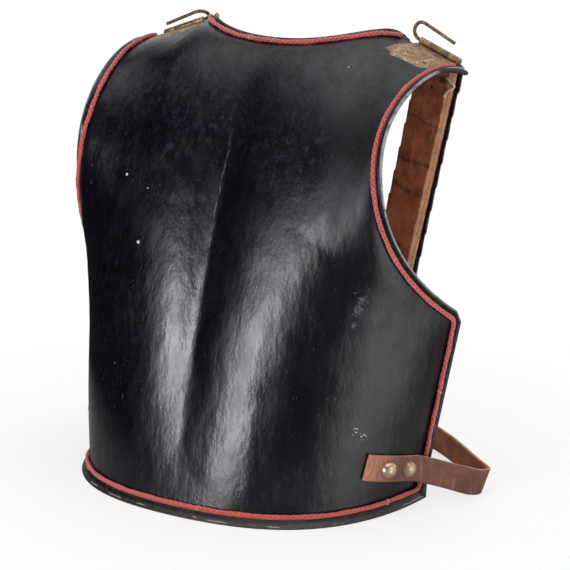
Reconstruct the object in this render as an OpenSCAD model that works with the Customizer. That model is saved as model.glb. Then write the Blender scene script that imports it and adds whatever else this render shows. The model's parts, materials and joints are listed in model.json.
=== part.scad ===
// Back plate of a cuirass: flanged iron shell with cord piping, hinged scale shoulder straps
// and a riveted waist belt. The plate stands on its waist flange. The origin is where the foot
// of the spine line rests, +Y runs forward through the open side, +X to the wearer's right.

/* [Back plate] */
// Thickness of the iron sheet
sheet_t = 1.6; // [1.2:0.1:2.4]
// Height of the waist line above the surface that the plate stands on
waist_h = 8; // [6:0.5:12]
// How far the waist flange stands out
waist_flare = 7; // [5:0.5:10]
// Full width across the two lower corners
waist_width = 297.6; // [280:1:320]
// From the spine forward to the lower corners
waist_depth = 135; // [120:1:150]
// Full width across the two corners under the arms
underarm_width = 346.8; // [335:1:365]
// From the spine of the waist forward to the corners under the arms
underarm_reach = 147.7; // [138:1:158]
// Height of the corners under the arms above the waist line
underarm_h = 146.2; // [135:1:160]
// Full width across the outer shoulder corners
shoulder_width = 296.2; // [286:1:306]
// From the spine of the waist forward to the outer shoulder corners
shoulder_reach = 195.7; // [188:1:204]
// Height of the outer shoulder corners above the waist line
shoulder_h = 342.1; // [332:1:352]
// Full width across the inner shoulder corners, beside the neck
neck_width = 183.6; // [176:1:190]
// Height of the inner shoulder corners above the waist line
neck_h = 362.4; // [354:1:370]
// From the spine of the waist forward to the nape
nape_reach = 148.2; // [140:1:156]
// Height of the nape above the waist line
nape_h = 356.6; // [348:1:364]
// Depth of the groove down the spine, between the shoulder blades
groove_depth = 9; // [0:0.5:14]
// Half width over which the groove fades out
groove_width = 26; // [18:1:40]

/* [Flange and piping] */
// Width of the flange at the neck, the armholes and the sides
flange_w = 7; // [5:0.5:10]
// Angle of that flange out of the surface
flange_angle = 42; // [25:1:60]
// Thickness of the turned edge of the flange
lip_t = 3; // [2:0.1:4]
// Diameter of the sewn cord
cord_d = 4; // [3:0.1:5]
// Height of the leather lining strip inside the waist
lining_h = 18; // [14:1:22]
// Thickness of the leather lining strip
lining_t = 1.5; // [1:0.1:2]

/* [Shoulder hinges] */
// Length of the hinge
hinge_len = 41; // [38:0.5:44]
// How far the hinge stands outward and forward of the shoulder edge
hinge_off = 6.55; // [6:0.05:7.5]
// How far the hinge stands above the shoulder edge
hinge_rise = 0.95; // [0.5:0.05:2]
// Diameter of the hinge pin wire
wire_d = 2.8; // [2.4:0.1:3.2]
// Radial running clearance of the pin in its knuckles
pin_clear = 0.06; // [0.02:0.01:0.1]
// Wall of the rolled brass knuckles
knuckle_wall = 1.3; // [1:0.1:1.8]
// Length of the two knuckles on the plate's leaf
outer_knuckle_len = 11; // [8:0.5:13]
// Gap between neighbouring knuckles
knuckle_gap = 0.4; // [0.2:0.1:0.8]
// Thickness of the brass leaves
leaf_t = 1.2; // [0.8:0.1:1.6]
// Height of the strap's leaf below the pin
strap_leaf_h = 26; // [20:1:32]
// Spacing of the pin's two legs
pin_bend_w = 14.6; // [12:0.2:18]
// Length of the pin's free leg
pin_free_len = 32; // [24:1:38]
// Angle by which the free leg closes in
pin_close_angle = 5; // [0:1:8]
// How far the left pin is tipped back onto the shoulder
left_pin_turn = 58; // [0:1:60]
// Diameter of the small rivet heads
small_rivet_d = 5; // [4:0.5:6]

/* [Shoulder straps] */
// Length of a strap's leather
strap_len = 268; // [220:1:300]
// Width of a strap's leather
strap_w = 36; // [30:0.5:38]
// Thickness of each of the two leather plies
ply_t = 2.3; // [1.8:0.1:3]
// How far the strap's middle lies outward of the hinge's middle
strap_shift = 3.5; // [0:0.5:4]
// Angle of the leather against its hinge
strap_skew = 7.6; // [0:0.1:10]
// Number of scales on a strap
scale_count = 11; // [10:1:12]
// Length of the strap's foot that the scales leave bare
scale_bare = 37; // [34:0.5:44]
// Width of one scale
scale_w = 43; // [40:0.5:45]
// Thickness of one scale
scale_t = 1.2; // [1:0.1:1.4]
// Height of a scale's arch
scale_arch = 2; // [1.5:0.1:3]
// Angle at which a scale stands off the leather
scale_tilt = 5; // [5:0.5:7]
// Diameter of the stud hole in the strap's end plate
stud_hole_d = 9; // [8:0.5:11]
// Width of the slot that leads out of the stud hole
stud_slot_w = 5; // [4:0.5:6]

/* [Waist belt] */
// Width of the belt
belt_w = 21; // [18:0.5:24]
// Thickness of the belt
belt_t = 2.8; // [2:0.1:3.2]
// How far the tongue runs forward of the plate's lower corner
belt_reach = 150; // [130:1:170]
// Diameter of the domed rivet heads
dome_d = 12; // [10:0.5:14]
// Height of the domes
dome_h = 4.4; // [3:0.1:5]
// Diameter of the rivet shanks
shank_d = 4; // [3:0.1:5]
// Diameter of the washers inside the plate
burr_d = 9; // [8:0.5:12]
// Thickness of those washers
burr_t = 1.2; // [0.8:0.1:1.6]
// Number of holes punched in the tongue
hole_count = 5; // [3:1:6]
// Distance between the punched holes
hole_pitch = 18; // [14:1:20]
// Diameter of the punched holes
hole_d = 3.5; // [3:0.1:4]
// Diameter of the buckle's bar
bar_d = 3.4; // [3:0.1:4]
// Inside width of the buckle
buckle_in = 23; // [22:0.5:26]
// Inside length of the buckle
buckle_len = 20; // [18:0.5:24]

/* [Mesh] */
// Cells across one half of the plate
cells_u = 14; // [10:1:16]
// Cells up the plate
cells_v = 26; // [20:1:30]
// Sides of the cords
cord_sides = 6; // [6:2:8]

/* [Hidden] */
$fn = 48;

// Clear distance between pieces that lie on each other
seat = 0.3;
// Share of the plate's height at which the side edge meets the armhole
armhole_v = 0.38;
// Share of the half width at which the neck meets the hinge line
neck_u = 0.64;
black = [0.07, 0.07, 0.09];
red = [0.75, 0.3, 0.28];
brass = [0.62, 0.5, 0.32];
dark_brass = [0.45, 0.38, 0.26];
leather = [0.42, 0.24, 0.17];
belt_brown = [0.45, 0.29, 0.24];

// Corners and curve handles of the right half, all from the sizes above
rest_w = 1.2 * lip_t;
spine_foot = [0, waist_flare - rest_w / 2, waist_h];
lower_corner = spine_foot + [waist_width / 2, waist_depth, 0];
under_arm = spine_foot + [underarm_width / 2, underarm_reach, underarm_h];
outer_tip = spine_foot + [shoulder_width / 2, shoulder_reach, shoulder_h];
inner_tip = spine_foot + [neck_width / 2, shoulder_reach + 5.5, neck_h];
nape = spine_foot + [0, nape_reach, nape_h];
waist_curve = [spine_foot, spine_foot + [waist_width * 0.245, 0, 0],
               lower_corner - [7.8, waist_depth * 0.837, 0], lower_corner];
spine_curve = [spine_foot, spine_foot + [0, 12.3, 72], nape - [0, 66, 2.6], nape];
arm_curve = [under_arm, under_arm + [-44.6, -140.7, 94],
             outer_tip + [-14.8, -110, 18.4], outer_tip];
neck_curve = [nape, nape + [neck_width * 0.31, 0, 0], inner_tip + [-11, -33.9, 9.1], inner_tip];

function unit(a) = a / norm(a);
function turned(a) = [-a[0], a[1], a[2]];
function bezier(p, t) = pow(1 - t, 3) * p[0] + 3 * pow(1 - t, 2) * t * p[1]
    + 3 * (1 - t) * t * t * p[2] + pow(t, 3) * p[3];

// The four edges of the right half: u runs from the spine to the edge, v from waist to shoulder
function top_edge(u) = u < neck_u ? bezier(neck_curve, u / neck_u)
    : inner_tip + (outer_tip - inner_tip) * (u - neck_u) / (1 - neck_u);
function side_edge(v) = v < armhole_v ? lower_corner + (under_arm - lower_corner) * v / armhole_v
    : bezier(arm_curve, (v - armhole_v) / (1 - armhole_v));
// Away from the edge the corner under the arm is spread over a stretch of height
function spread_edge(v, w) = w < 0.002 ? side_edge(v)
    : (side_edge(v - w) + side_edge(v - w / 2) + side_edge(v) + side_edge(v + w / 2)
       + side_edge(v + w)) / 5;
// Below the shoulder the corner beside the neck is spread over a stretch of width
function spread_top(u, w) = w < 0.002 ? top_edge(u)
    : (top_edge(u - w) + top_edge(u - 0.75 * w) + top_edge(u - w / 2) + top_edge(u - w / 4)
       + top_edge(u) + top_edge(u + w / 4) + top_edge(u + w / 2) + top_edge(u + 0.75 * w)
       + top_edge(u + w)) / 9;
function shell_base(u, v) =
    let (b = u * u, a = pow(v, 3), w = 0.2 * (1 - b) * min(1, 2.5 * v, 2.5 * (1 - v)),
         w_top = 0.2 * min(1, 4 * (1 - v)) * min(1, 3 * u))
    bezier(spine_curve, v) * (1 - b) + spread_edge(v, w) * b
    + (bezier(waist_curve, u) - spine_foot * (1 - b) - lower_corner * b) * (1 - a)
    + (spread_top(u, w_top) - nape * (1 - b) - outer_tip * b) * a;
// Beside the spine the shoulder blades stand out, which leaves a groove between them
function blade(u, v, x) = groove_depth * pow(max(0, sin(176 * v)), 1.3)
    * (1 - exp(-pow(x / groove_width, 2))) * (1 - pow(u, 3));
function half_shell(u, v) = let (p = shell_base(u, v)) p - [0, blade(u, v, p[0]), 0];
// A point of the outer surface, u from -1 at the left edge to 1 at the right edge
function shell(u, v) = u < 0 ? turned(half_shell(-u, v)) : half_shell(u, v);
function shell_du(u, v) = shell(min(u + 0.004, 1), v) - shell(max(u - 0.004, -1), v);
function shell_dv(u, v) = shell(u, min(v + 0.004, 1)) - shell(u, max(v - 0.004, 0));
// The outward normal there
function shell_n(u, v) = unit(cross(shell_du(u, v), shell_dv(u, v)));

// The loop of edge places, counter-clockwise seen from outside, as [u, v]
columns = [for (i = [-cells_u:cells_u]) i / cells_u];
rows = [for (j = [0:cells_v]) j / cells_v];
edge_loop = concat([for (i = [0:2 * cells_u - 1]) [columns[i], 0]],
                   [for (j = [0:cells_v - 1]) [1, rows[j]]],
                   [for (i = [2 * cells_u:-1:1]) [columns[i], 1]],
                   [for (j = [cells_v:-1:1]) [-1, rows[j]]]);

// Direction across the edge, in the surface and away from the plate
function across(u, v) =
    let (n = shell_n(u, v), du = unit(shell_du(u, v)), dv = unit(shell_dv(u, v)),
         side = u < 0 ? -1 : 1, to_top = unit(cross(du * side, n)) * side)
    abs(u) == 1 && v > 0 && v < 1 ? unit(cross(dv, n)) * side
    : v == 0 ? -unit(cross(n, du))
    : abs(u) == 1 ? unit(unit(cross(n, du)) + unit(cross(dv, n)) * side) : unit(cross(n, du));
function is_hinge(u, v) = v == 1 && abs(u) > neck_u + 0.01 && abs(u) < 0.99;
// Tip of the flange: at the waist it drops to the standing surface, at the hinge there is none
function level(a) = unit([a[0], a[1], 0]);
function flange_tip(u, v) =
    let (p = shell(u, v), n = shell_n(u, v), a = across(u, v),
         corner = abs(u) == 1 ? [0, flange_w * 0.6, 0] : [0, 0, 0])
    v == 0 ? let (q = p + level(n) * waist_flare + corner) [q[0], q[1], 0]
    : is_hinge(u, v) ? p + a * 1.5
    : p + (a * cos(flange_angle) + n * sin(flange_angle)) * flange_w;
// The inner side of the turned lip
function lip_in(u, v) =
    let (p = shell(u, v), n = shell_n(u, v), tip = flange_tip(u, v))
    v == 0 ? tip - level(n) * rest_w
    : is_hinge(u, v) ? tip - n * sheet_t
    : tip + unit(across(u, v) * sin(flange_angle) - n * cos(flange_angle)) * lip_t;

// Two triangles for each cell of a grid of points, rows of n_u points
function cell_faces(n_u, n_v, start, flip) =
    [for (j = [0:n_v - 2]) for (i = [0:n_u - 2])
        let (a = start + j * n_u + i, b = a + 1, c = b + n_u, d = a + n_u)
        each flip ? [[a, b, c], [a, c, d]] : [[a, c, b], [a, d, c]]];
// Two triangles for each cell between two closed loops of n points
function band_faces(n, first, second) =
    [for (i = [0:n - 1]) let (k = (i + 1) % n)
        each [[first + i, second + i, second + k], [first + i, second + k, first + k]]];

n_grid = (2 * cells_u + 1) * (cells_v + 1);
n_loop = len(edge_loop);
function loop_index(i) =
    let (w = 2 * cells_u, h = cells_v)
    i < w ? i
    : i < w + h ? (i - w) * (w + 1) + w
    : i < 2 * w + h ? h * (w + 1) + w - (i - w - h)
    : (h - (i - 2 * w - h)) * (w + 1);

module back_plate() {
    outer = [for (v = rows) for (u = columns) shell(u, v)];
    inner = [for (v = rows) for (u = columns) shell(u, v) - shell_n(u, v) * sheet_t];
    tips = [for (e = edge_loop) flange_tip(e[0], e[1])];
    lips = [for (e = edge_loop) lip_in(e[0], e[1])];
    t0 = 2 * n_grid;
    l0 = t0 + n_loop;
    root_out = [for (i = [0:n_loop - 1]) loop_index(i)];
    root_in = [for (i = [0:n_loop - 1]) n_grid + loop_index(i)];
    out_strip = [for (i = [0:n_loop - 1]) let (k = (i + 1) % n_loop)
        each [[t0 + i, root_out[i], root_out[k]], [t0 + i, root_out[k], t0 + k]]];
    in_strip = [for (i = [0:n_loop - 1]) let (k = (i + 1) % n_loop)
        each [[l0 + i, root_in[k], root_in[i]], [l0 + i, l0 + k, root_in[k]]]];
    color(black) difference() {
        polyhedron(points = concat(outer, inner, tips, lips),
                   faces = concat(cell_faces(2 * cells_u + 1, cells_v + 1, 0, false),
                                  cell_faces(2 * cells_u + 1, cells_v + 1, n_grid, true),
                                  out_strip, in_strip, band_faces(n_loop, l0, t0)),
                   convexity = 8);
        for (s = [-1, 1]) {
            for (k = [0:1]) on_shell(s * belt_rivet_u[k], belt_rivet_v[k])
                cylinder(d = shank_d + 0.2, h = 20, center = true);
            for (r = leaf_rivets) on_shell(s * r[0], r[1])
                cylinder(d = small_rivet_d / 2 + 0.2, h = 12, center = true);
        }
    }
}

// Puts its children on the outer surface, with +Z along the outward normal
module on_shell(u, v) {
    n = shell_n(u, v);
    x = unit(shell_du(u, v));
    frame_at(shell(u, v), x, cross(n, x), n) children();
}

module frame_at(p, x, y, z) {
    multmatrix([[x[0], y[0], z[0], p[0]], [x[1], y[1], z[1], p[1]],
                [x[2], y[2], z[2], p[2]], [0, 0, 0, 1]]) children();
}

// Leather strip inside the waist: it follows the inner side of the plate and of the flange
module waist_lining() {
    top_v = lining_h / nape_h * 0.93;
    rings = [for (u = columns)
        let (p = shell(u, 0), n = shell_n(u, 0), h = level(n),
             low = [lip_in(u, 0)[0], lip_in(u, 0)[1], seat] - h * seat,
             root = p - n * (sheet_t + 2 * seat), q = shell(u, top_v), m = shell_n(u, top_v),
             top = q - m * (sheet_t + 2 * seat))
        each [low, root, top, top - m * lining_t, root - n * lining_t * 1.1, low - h * lining_t]];
    color(leather) tube(rings, 6);
}

// A closed body through rings of n points each, n even, with an end face at both ends
module tube(points, n) {
    count = len(points) / n;
    z = (count - 1) * n;
    polyhedron(points = points,
               faces = concat([for (k = [0:n / 2 - 2])
                       each [[k, k + 1, n - 2 - k], [k, n - 2 - k, n - 1 - k]]],
                   [for (j = [0:count - 2]) for (k = [0:n - 1])
                       let (a = j * n + k, b = j * n + (k + 1) % n)
                       each [[a, a + n, b + n], [a, b + n, b]]],
                   [for (k = [0:n / 2 - 2]) each [[z + k, z + n - 2 - k, z + k + 1],
                       [z + k, z + n - 1 - k, z + n - 2 - k]]]), convexity = 8);
}

// Where the cord lies at an edge place: in the angle between the plate and its flange
cord_r = cord_d / 2;
function cord_at(e) = shell(e[0], e[1]) + shell_n(e[0], e[1]) * (cord_r + 0.2)
    - across(e[0], e[1]) * (cord_r * 0.38 + 0.2);
module cord(places) {
    last = len(places) - 1;
    path = [for (e = places) cord_at(e)];
    tube([for (i = [0:last])
        let (t = unit(path[min(i + 1, last)] - path[max(i - 1, 0)]),
             n0 = shell_n(places[i][0], places[i][1]), b = unit(cross(t, n0)), n = cross(b, t))
        each [for (k = [0:cord_sides - 1]) let (a = 360 * k / cord_sides)
            path[i] + cord_r * (cos(a) * n + sin(a) * b)]], cord_sides);
}
module neck_piping() {
    inside = [for (u = columns) if (abs(u) < neck_u - 0.03) [u, 1]];
    color(red) cord(concat([[-neck_u + 0.01, 1]], inside, [[neck_u - 0.01, 1]]));
}
module edge_piping() {
    color(red) cord(concat([[-1, 0.99]], [for (j = [cells_v - 1:-1:1]) [-1, rows[j]]],
                           [for (u = columns) [u, 0]],
                           [for (j = [1:cells_v - 1]) [1, rows[j]]], [[1, 0.99]]));
}

// The right hinge: a from the neck outward along the pin, n forward, up across both
hinge_mid = (inner_tip + outer_tip) / 2 + [hinge_off, hinge_off, hinge_rise];
hinge_a = unit([0.9335, -0.0875, -0.3476]);
hang = unit([-0.2225, 0, -0.975]);
hinge_n = unit(cross(hinge_a, hang));
hinge_up = cross(hinge_a, hinge_n);
bore_r = wire_d / 2 + pin_clear;
knuckle_r = bore_r + knuckle_wall;
mid_knuckle = hinge_len - 2 * outer_knuckle_len - 2 * knuckle_gap;

module at_hinge() frame_at(hinge_mid, hinge_a, hinge_n, hinge_up) children();
module along_pin(from, to, r) translate([from, 0, 0]) rotate([0, 90, 0])
    cylinder(r = r, h = to - from);
// The leather hangs at an angle to its hinge
module at_strap() at_hinge() in_leaf() children();
module in_leaf() translate([strap_shift, 0, 0]) rotate([0, -strap_skew, 0]) children();

// Brass leaf on the plate: it follows the surface, then runs under its two rolled knuckles
leaf_v = [0.925, 0.945, 0.965, 0.985, 1];
leaf_u_out = 0.962;
leaf_lift = 3.2 * seat;
function leaf_u_in(v) = 0.735 - (1 - v) * 1.1;
leaf_rivets = [[0.735, 0.945], [0.9, 0.945], [0.83, 0.975]];
module shoulder_leaf() {
    m = 7;
    half = hinge_len / 2;
    function across_leaf(v, i) = leaf_u_in(v) + (leaf_u_out - leaf_u_in(v)) * i / (m - 1);
    function lifted(v, h) = [for (i = [0:m - 1]) let (u = across_leaf(v, i))
        shell(u, v) + shell_n(u, v) * h];
    function front(up, back) = [for (i = [0:m - 1])
        hinge_mid + hinge_a * (-half + 0.3 + (hinge_len - 0.6) * i / (m - 1))
        - hinge_up * up - hinge_n * back];
    low = concat([for (v = leaf_v) each lifted(v, leaf_lift)], front(knuckle_r - 0.05, 0.4));
    high = concat([for (v = leaf_v) each lifted(v, leaf_lift + leaf_t)],
                  front(knuckle_r - 0.9, 1.2));
    n_all = len(low);
    n_v = len(leaf_v) + 1;
    rim = concat([for (i = [0:m - 2]) i], [for (j = [0:n_v - 2]) j * m + m - 1],
                 [for (i = [m - 1:-1:1]) (n_v - 1) * m + i], [for (j = [n_v - 1:-1:1]) j * m]);
    edge = [for (i = [0:len(rim) - 1]) let (a = rim[i], b = rim[(i + 1) % len(rim)])
        each [[a, a + n_all, b + n_all], [a, b + n_all, b]]];
    difference() {
        union() {
            polyhedron(points = concat(low, high),
                       faces = concat(cell_faces(m, n_v, 0, true),
                                      cell_faces(m, n_v, n_all, false), edge), convexity = 4);
            at_hinge() for (s = [-half, half - outer_knuckle_len])
                along_pin(s, s + outer_knuckle_len, knuckle_r);
        }
        at_hinge() {
            along_pin(-half - 5, half + 5, bore_r);
            along_pin(-mid_knuckle / 2 - knuckle_gap, mid_knuckle / 2 + knuckle_gap,
                      knuckle_r + 2 * knuckle_gap);
        }
        for (r = leaf_rivets) on_shell(r[0], r[1])
            cylinder(d = small_rivet_d / 2 + 0.2, h = 12, center = true);
    }
}
module flat_rivet(d, head_h, length) {
    cylinder(d1 = d, d2 = d * 0.6, h = head_h);
    translate([0, 0, -length]) cylinder(d = d / 2, h = length + 0.01);
}
module leaf_rivet_set() {
    for (r = leaf_rivets) on_shell(r[0], r[1]) {
        translate([0, 0, leaf_t + leaf_lift + seat])
            flat_rivet(small_rivet_d, 0.8, leaf_t + leaf_lift + seat + sheet_t + 1.2);
        translate([0, 0, -sheet_t - 2 * seat - 1]) cylinder(d = small_rivet_d, h = 1);
    }
}

// Bent wire pin: one leg in the knuckles, a half round bend, and a free leg that closes in
module hinge_pin(turn) {
    r = wire_d / 2;
    bend_r = pin_bend_w / 2;
    half = hinge_len / 2;
    // The bent stretch is a hair thicker, and both legs run a short way into it
    swell = 0.08;
    bite = 0.5;
    at_hinge() rotate([turn, 0, 0]) {
        along_pin(-half - 1.5 - bite, half + 1.2, r);
        translate([-half - 1.5, 0, bend_r]) rotate([90, 0, 0]) {
            rotate([0, 0, 90 - pin_close_angle]) rotate_extrude(angle = 180 + pin_close_angle)
                translate([bend_r, 0]) circle(r = r + swell);
            rotate([0, 0, 90 - pin_close_angle]) translate([bend_r, bite, 0]) rotate([90, 0, 0])
                cylinder(r = r, h = pin_free_len + bite);
        }
    }
}

// The leaf on the strap: one knuckle in the middle and a flat leaf below
leaf_w = strap_w - 4;
module strap_leaf() {
    at_hinge() difference() {
        union() {
            along_pin(-mid_knuckle / 2, mid_knuckle / 2, knuckle_r);
            translate([-mid_knuckle / 2, -leaf_t / 2, -strap_leaf_h])
                cube([mid_knuckle, leaf_t, strap_leaf_h - bore_r]);
            translate([strap_shift - leaf_w / 2, -leaf_t / 2, -strap_leaf_h])
                cube([leaf_w, leaf_t, strap_leaf_h - knuckle_r - 2 * knuckle_gap - 3]);
        }
        along_pin(-mid_knuckle, mid_knuckle, bore_r);
        for (p = leather_rivets) translate([p[0], 0, p[1]]) rotate([90, 0, 0])
            cylinder(d = small_rivet_d / 2 + 0.2, h = 5, center = true);
        in_leaf() scale_rivet_places(0) rotate([90, 0, 0])
            cylinder(d = scale_rivet_d + 0.2, h = 5, center = true);
    }
}
// Three rivets through the leaf and both plies, under the first scale
module strap_leaf_rivets() {
    grip = leaf_t / 2 - ply_front + 2 * ply_t + 0.1;
    at_hinge() for (p = leather_rivets) translate([p[0], leaf_t / 2 + seat, p[1]])
        rotate([-90, 0, 0]) {
            flat_rivet(small_rivet_d, 0.8, grip + 2 * seat + 0.7);
            translate([0, 0, -grip - 2 * seat - 0.7]) cylinder(d = small_rivet_d, h = 0.7);
        }
}

// Leather plies behind the leaf: both start clear of the plate's edge
ply_top = -10;
ply_front = -leaf_t / 2 - 0.1;
leather_rivets = [for (x = [-1:1]) [strap_shift + x * 0.34 * leaf_w, 7 - strap_leaf_h]];
stud_z = ply_top - strap_len + 24;
module strap_outline(thickness) {
    rotate([90, 0, 0]) linear_extrude(thickness) difference() {
        union() {
            translate([-strap_w / 2, ply_top - strap_len + strap_w / 2])
                square([strap_w, strap_len - strap_w / 2]);
            translate([0, ply_top - strap_len + strap_w / 2]) circle(d = strap_w);
        }
        translate([0, stud_z]) circle(d = stud_hole_d + 1);
        translate([-stud_slot_w / 2 - 0.5, stud_z - 13]) square([stud_slot_w + 1, 13]);
    }
}
module rivet_bores() {
    at_hinge() for (p = leather_rivets) translate([p[0], 0, p[1]]) rotate([90, 0, 0])
        cylinder(d = small_rivet_d / 2 + 0.2, h = 20, center = true);
}
module strap_leather() {
    difference() {
        at_strap() translate([0, ply_front, 0]) strap_outline(ply_t);
        rivet_bores();
        at_strap() {
            for (i = [0:scale_count - 1]) scale_rivet_places(i) rotate([90, 0, 0])
                cylinder(d = scale_rivet_d + 0.2, h = 20, center = true);
            end_rivet_places() rotate([90, 0, 0])
                cylinder(d = scale_rivet_d + 0.2, h = 20, center = true);
        }
    }
}
module strap_lining() {
    difference() {
        at_strap() translate([0, ply_front - ply_t - 0.1, 0]) strap_outline(ply_t);
        rivet_bores();
        at_strap() end_rivet_places() rotate([90, 0, 0])
            cylinder(d = scale_rivet_d + 0.2, h = 20, center = true);
    }
}

// Arched scales: each tilts over the top of the next one
scale_rivet_d = 2.4;
scale_pitch = (strap_len - scale_bare) / scale_count;
scale_len = scale_pitch * 4 / 3;
scale_top = -6;
scale_r = (pow(scale_w / 2, 2) + pow(scale_arch, 2)) / (2 * scale_arch);
// How far a scale's inner side stands off over the leather's edge, below its crown
edge_rise = scale_r - sqrt(pow(scale_r, 2) - pow(strap_w / 2, 2));
function scale_seat(i) = (i == 0 ? leaf_t / 2 : ply_front) + seat + edge_rise;
module at_scale(i) translate([0, scale_seat(i), scale_top - i * scale_pitch])
    rotate([scale_tilt, 0, 0]) children();
module one_scale() {
    corner = 9;
    intersection() {
        translate([0, scale_t - scale_r, -scale_len]) linear_extrude(scale_len) difference() {
            circle(r = scale_r, $fn = 180);
            circle(r = scale_r - scale_t, $fn = 180);
            translate([-2 * scale_r, -2 * scale_r]) square([4 * scale_r, 3 * scale_r - 8]);
        }
        rotate([90, 0, 0]) linear_extrude(30, center = true) union() {
            translate([-scale_w / 2, -scale_len + corner]) square([scale_w, scale_len - corner]);
            translate([-scale_w / 2 + corner, -scale_len]) square([scale_w - 2 * corner, scale_len]);
            for (s = [-1, 1]) translate([s * (scale_w / 2 - corner), -scale_len + corner])
                circle(r = corner);
        }
    }
}
// The first scale's rivets sit lower, where they reach the leather
function rivet_drop(i) = i == 0 ? 7 : 3.2;
module scale_rivet_places(i) for (s = [-1, 1])
    translate([s * 9, 0, scale_top - i * scale_pitch - rivet_drop(i)]) children();
module strap_scales() {
    at_strap() for (i = [0:scale_count - 1]) difference() {
        at_scale(i) one_scale();
        scale_rivet_places(i) rotate([90, 0, 0])
            cylinder(d = scale_rivet_d + 0.2, h = 20, center = true);
    }
}
module scale_rivets() {
    // Height of a scale's outer side over its seat, at its rivets
    function crown(i) = scale_t + rivet_drop(i) * sin(scale_tilt) - 9 * 9 / (2 * scale_r);
    at_strap() for (i = [0:scale_count - 1]) scale_rivet_places(i) {
        translate([0, scale_seat(i) + crown(i) + 0.17, 0]) rotate([scale_tilt - 90, 0, 0])
            cylinder(d = 3.4, h = 0.25);
        translate([0, ply_front - ply_t + 1.1, 0]) rotate([-90, 0, 0])
            cylinder(d = scale_rivet_d, h = scale_seat(i) + crown(i) - ply_front + ply_t - 0.8);
    }
}

// Brass plate with a keyhole, at the strap's lower end, for a stud
module end_rivet_places() for (s = [-1, 1])
    translate([s * 11, 0, stud_z - 4]) children();
module strap_end_plate() {
    at_strap() {
        translate([0, ply_front + seat + leaf_t, 0]) rotate([90, 0, 0]) linear_extrude(leaf_t)
            difference() {
                translate([0, stud_z - 2]) intersection() {
                    circle(d = strap_w - 2);
                    translate([-strap_w, -strap_w]) square([2 * strap_w, strap_w + 11]);
                }
                translate([0, stud_z]) circle(d = stud_hole_d);
                translate([-stud_slot_w / 2, stud_z - 11]) square([stud_slot_w, 11]);
                for (s = [-1, 1]) translate([s * 11, stud_z - 4])
                    circle(d = scale_rivet_d + 0.2);
            }
        end_rivet_places() translate([0, ply_front + 2 * seat + leaf_t, 0]) rotate([-90, 0, 0]) {
            cylinder(d = small_rivet_d, h = 1);
            translate([0, 0, -2 * ply_t - leaf_t - 1.6]) {
                cylinder(d = scale_rivet_d, h = 2 * ply_t + leaf_t + 2);
                cylinder(d = small_rivet_d, h = 0.7);
            }
        }
    }
}

// The belt lies on the plate up to its rivets, then stands on its edge, bends and runs forward
belt_start_u = 0.75;
belt_rivet_u = [0.84, 0.927];
function belt_v(u) = 0.1039 - 0.226 * (u - belt_start_u);
belt_rivet_v = [for (u = belt_rivet_u) belt_v(u)];
belt_z = belt_w / 2 + 0.8;
function on_plate(u) = shell(u, belt_v(u)) + shell_n(u, belt_v(u)) * (2 * seat + belt_t / 2);
reach = belt_reach / 150;
function free(x, y, z) = lower_corner + [x * reach, y * reach, z - waist_h];
belt_leave_u = 0.953;
belt_step = (belt_leave_u - belt_start_u) / 6;
belt_leave = on_plate(belt_leave_u);
belt_lift = [belt_leave, belt_leave + [5.5, 9, -2.6], free(20, 16, belt_z + 6.5),
             free(38.5, 30, belt_z)];
belt_turn = [belt_lift[3], free(44.5, 34, belt_z), free(45.5, 38, belt_z), free(39.5, 43, belt_z)];
tongue_run = [belt_turn[3], free(1, 81, belt_z), free(-58, 138, belt_z), free(-138, 150, belt_z)];
buckle_dir = unit([-28, 20, 0]);
bar_at = free(-46, 116, belt_z);
bar_out = cross(buckle_dir, [0, 0, 1]);
fold_len = 14;
buckle_run = [belt_turn[3], free(18, 66, belt_z), bar_at - buckle_dir * 52 * reach,
              bar_at - buckle_dir * fold_len];
function samples(p, n) = [for (i = [1:n]) bezier(p, i / n)];
function belt_path(run, n) = concat(
    [for (i = [0:6]) on_plate(belt_start_u + i * belt_step)],
    samples(belt_lift, 8), samples(belt_turn, 5), samples(run, n));
on_plate_count = 7;
// The left belt's end, skived thin, passes round the buckle's bar and back on the inner side
fold_t = 1.9;
slot_w = 6;
left_trim = 10;
fold_r = bar_d / 2 + pin_clear + fold_t / 2;
function near_bar(along, out) = bar_at + buckle_dir * along + bar_out * out;
fold_gap = belt_t / 2 + seat + fold_t / 2;
buckle_path = belt_path(buckle_run, 8);
strip_count = len(buckle_path);
fold_path = concat([near_bar(-10, 0.7), near_bar(-6, 1.9), near_bar(-3, fold_r - 0.15)],
    [for (a = [-90:22.5:90]) near_bar(fold_r * cos(a), -fold_r * sin(a))],
    [near_bar(-4, -fold_gap), near_bar(-9, -fold_gap), near_bar(-fold_len, -fold_gap),
     bezier(buckle_run, 0.82) - bar_out * fold_gap, bezier(buckle_run, 0.7) - bar_out * fold_gap]);
module belt_strip(path, strip_end, taper_end) {
    last = len(path) - 1;
    tube([for (i = [0:last])
        let (t = unit(path[min(i + 1, last)] - path[max(i - 1, 0)]),
             u = belt_start_u + i * belt_step,
             out = i < on_plate_count ? shell_n(u, belt_v(u)) : unit(cross(t, [0, 0, 1])),
             w = unit(cross(out, t)), o = cross(t, w),
             half_t = (i < strip_end ? belt_t : fold_t) / 2,
             half_w = min(belt_w / 2, taper_end && i > last - 2 ? (last - i) * 3.2 + 3.5 : belt_w))
        each [path[i] + w * half_w + o * half_t, path[i] - w * half_w + o * half_t,
              path[i] - w * half_w - o * half_t, path[i] + w * half_w - o * half_t]], 4);
}
module belt_rivet_bores() for (k = [0:1]) on_shell(belt_rivet_u[k], belt_rivet_v[k])
    cylinder(d = shank_d + 0.2, h = 20, center = true);
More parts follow.
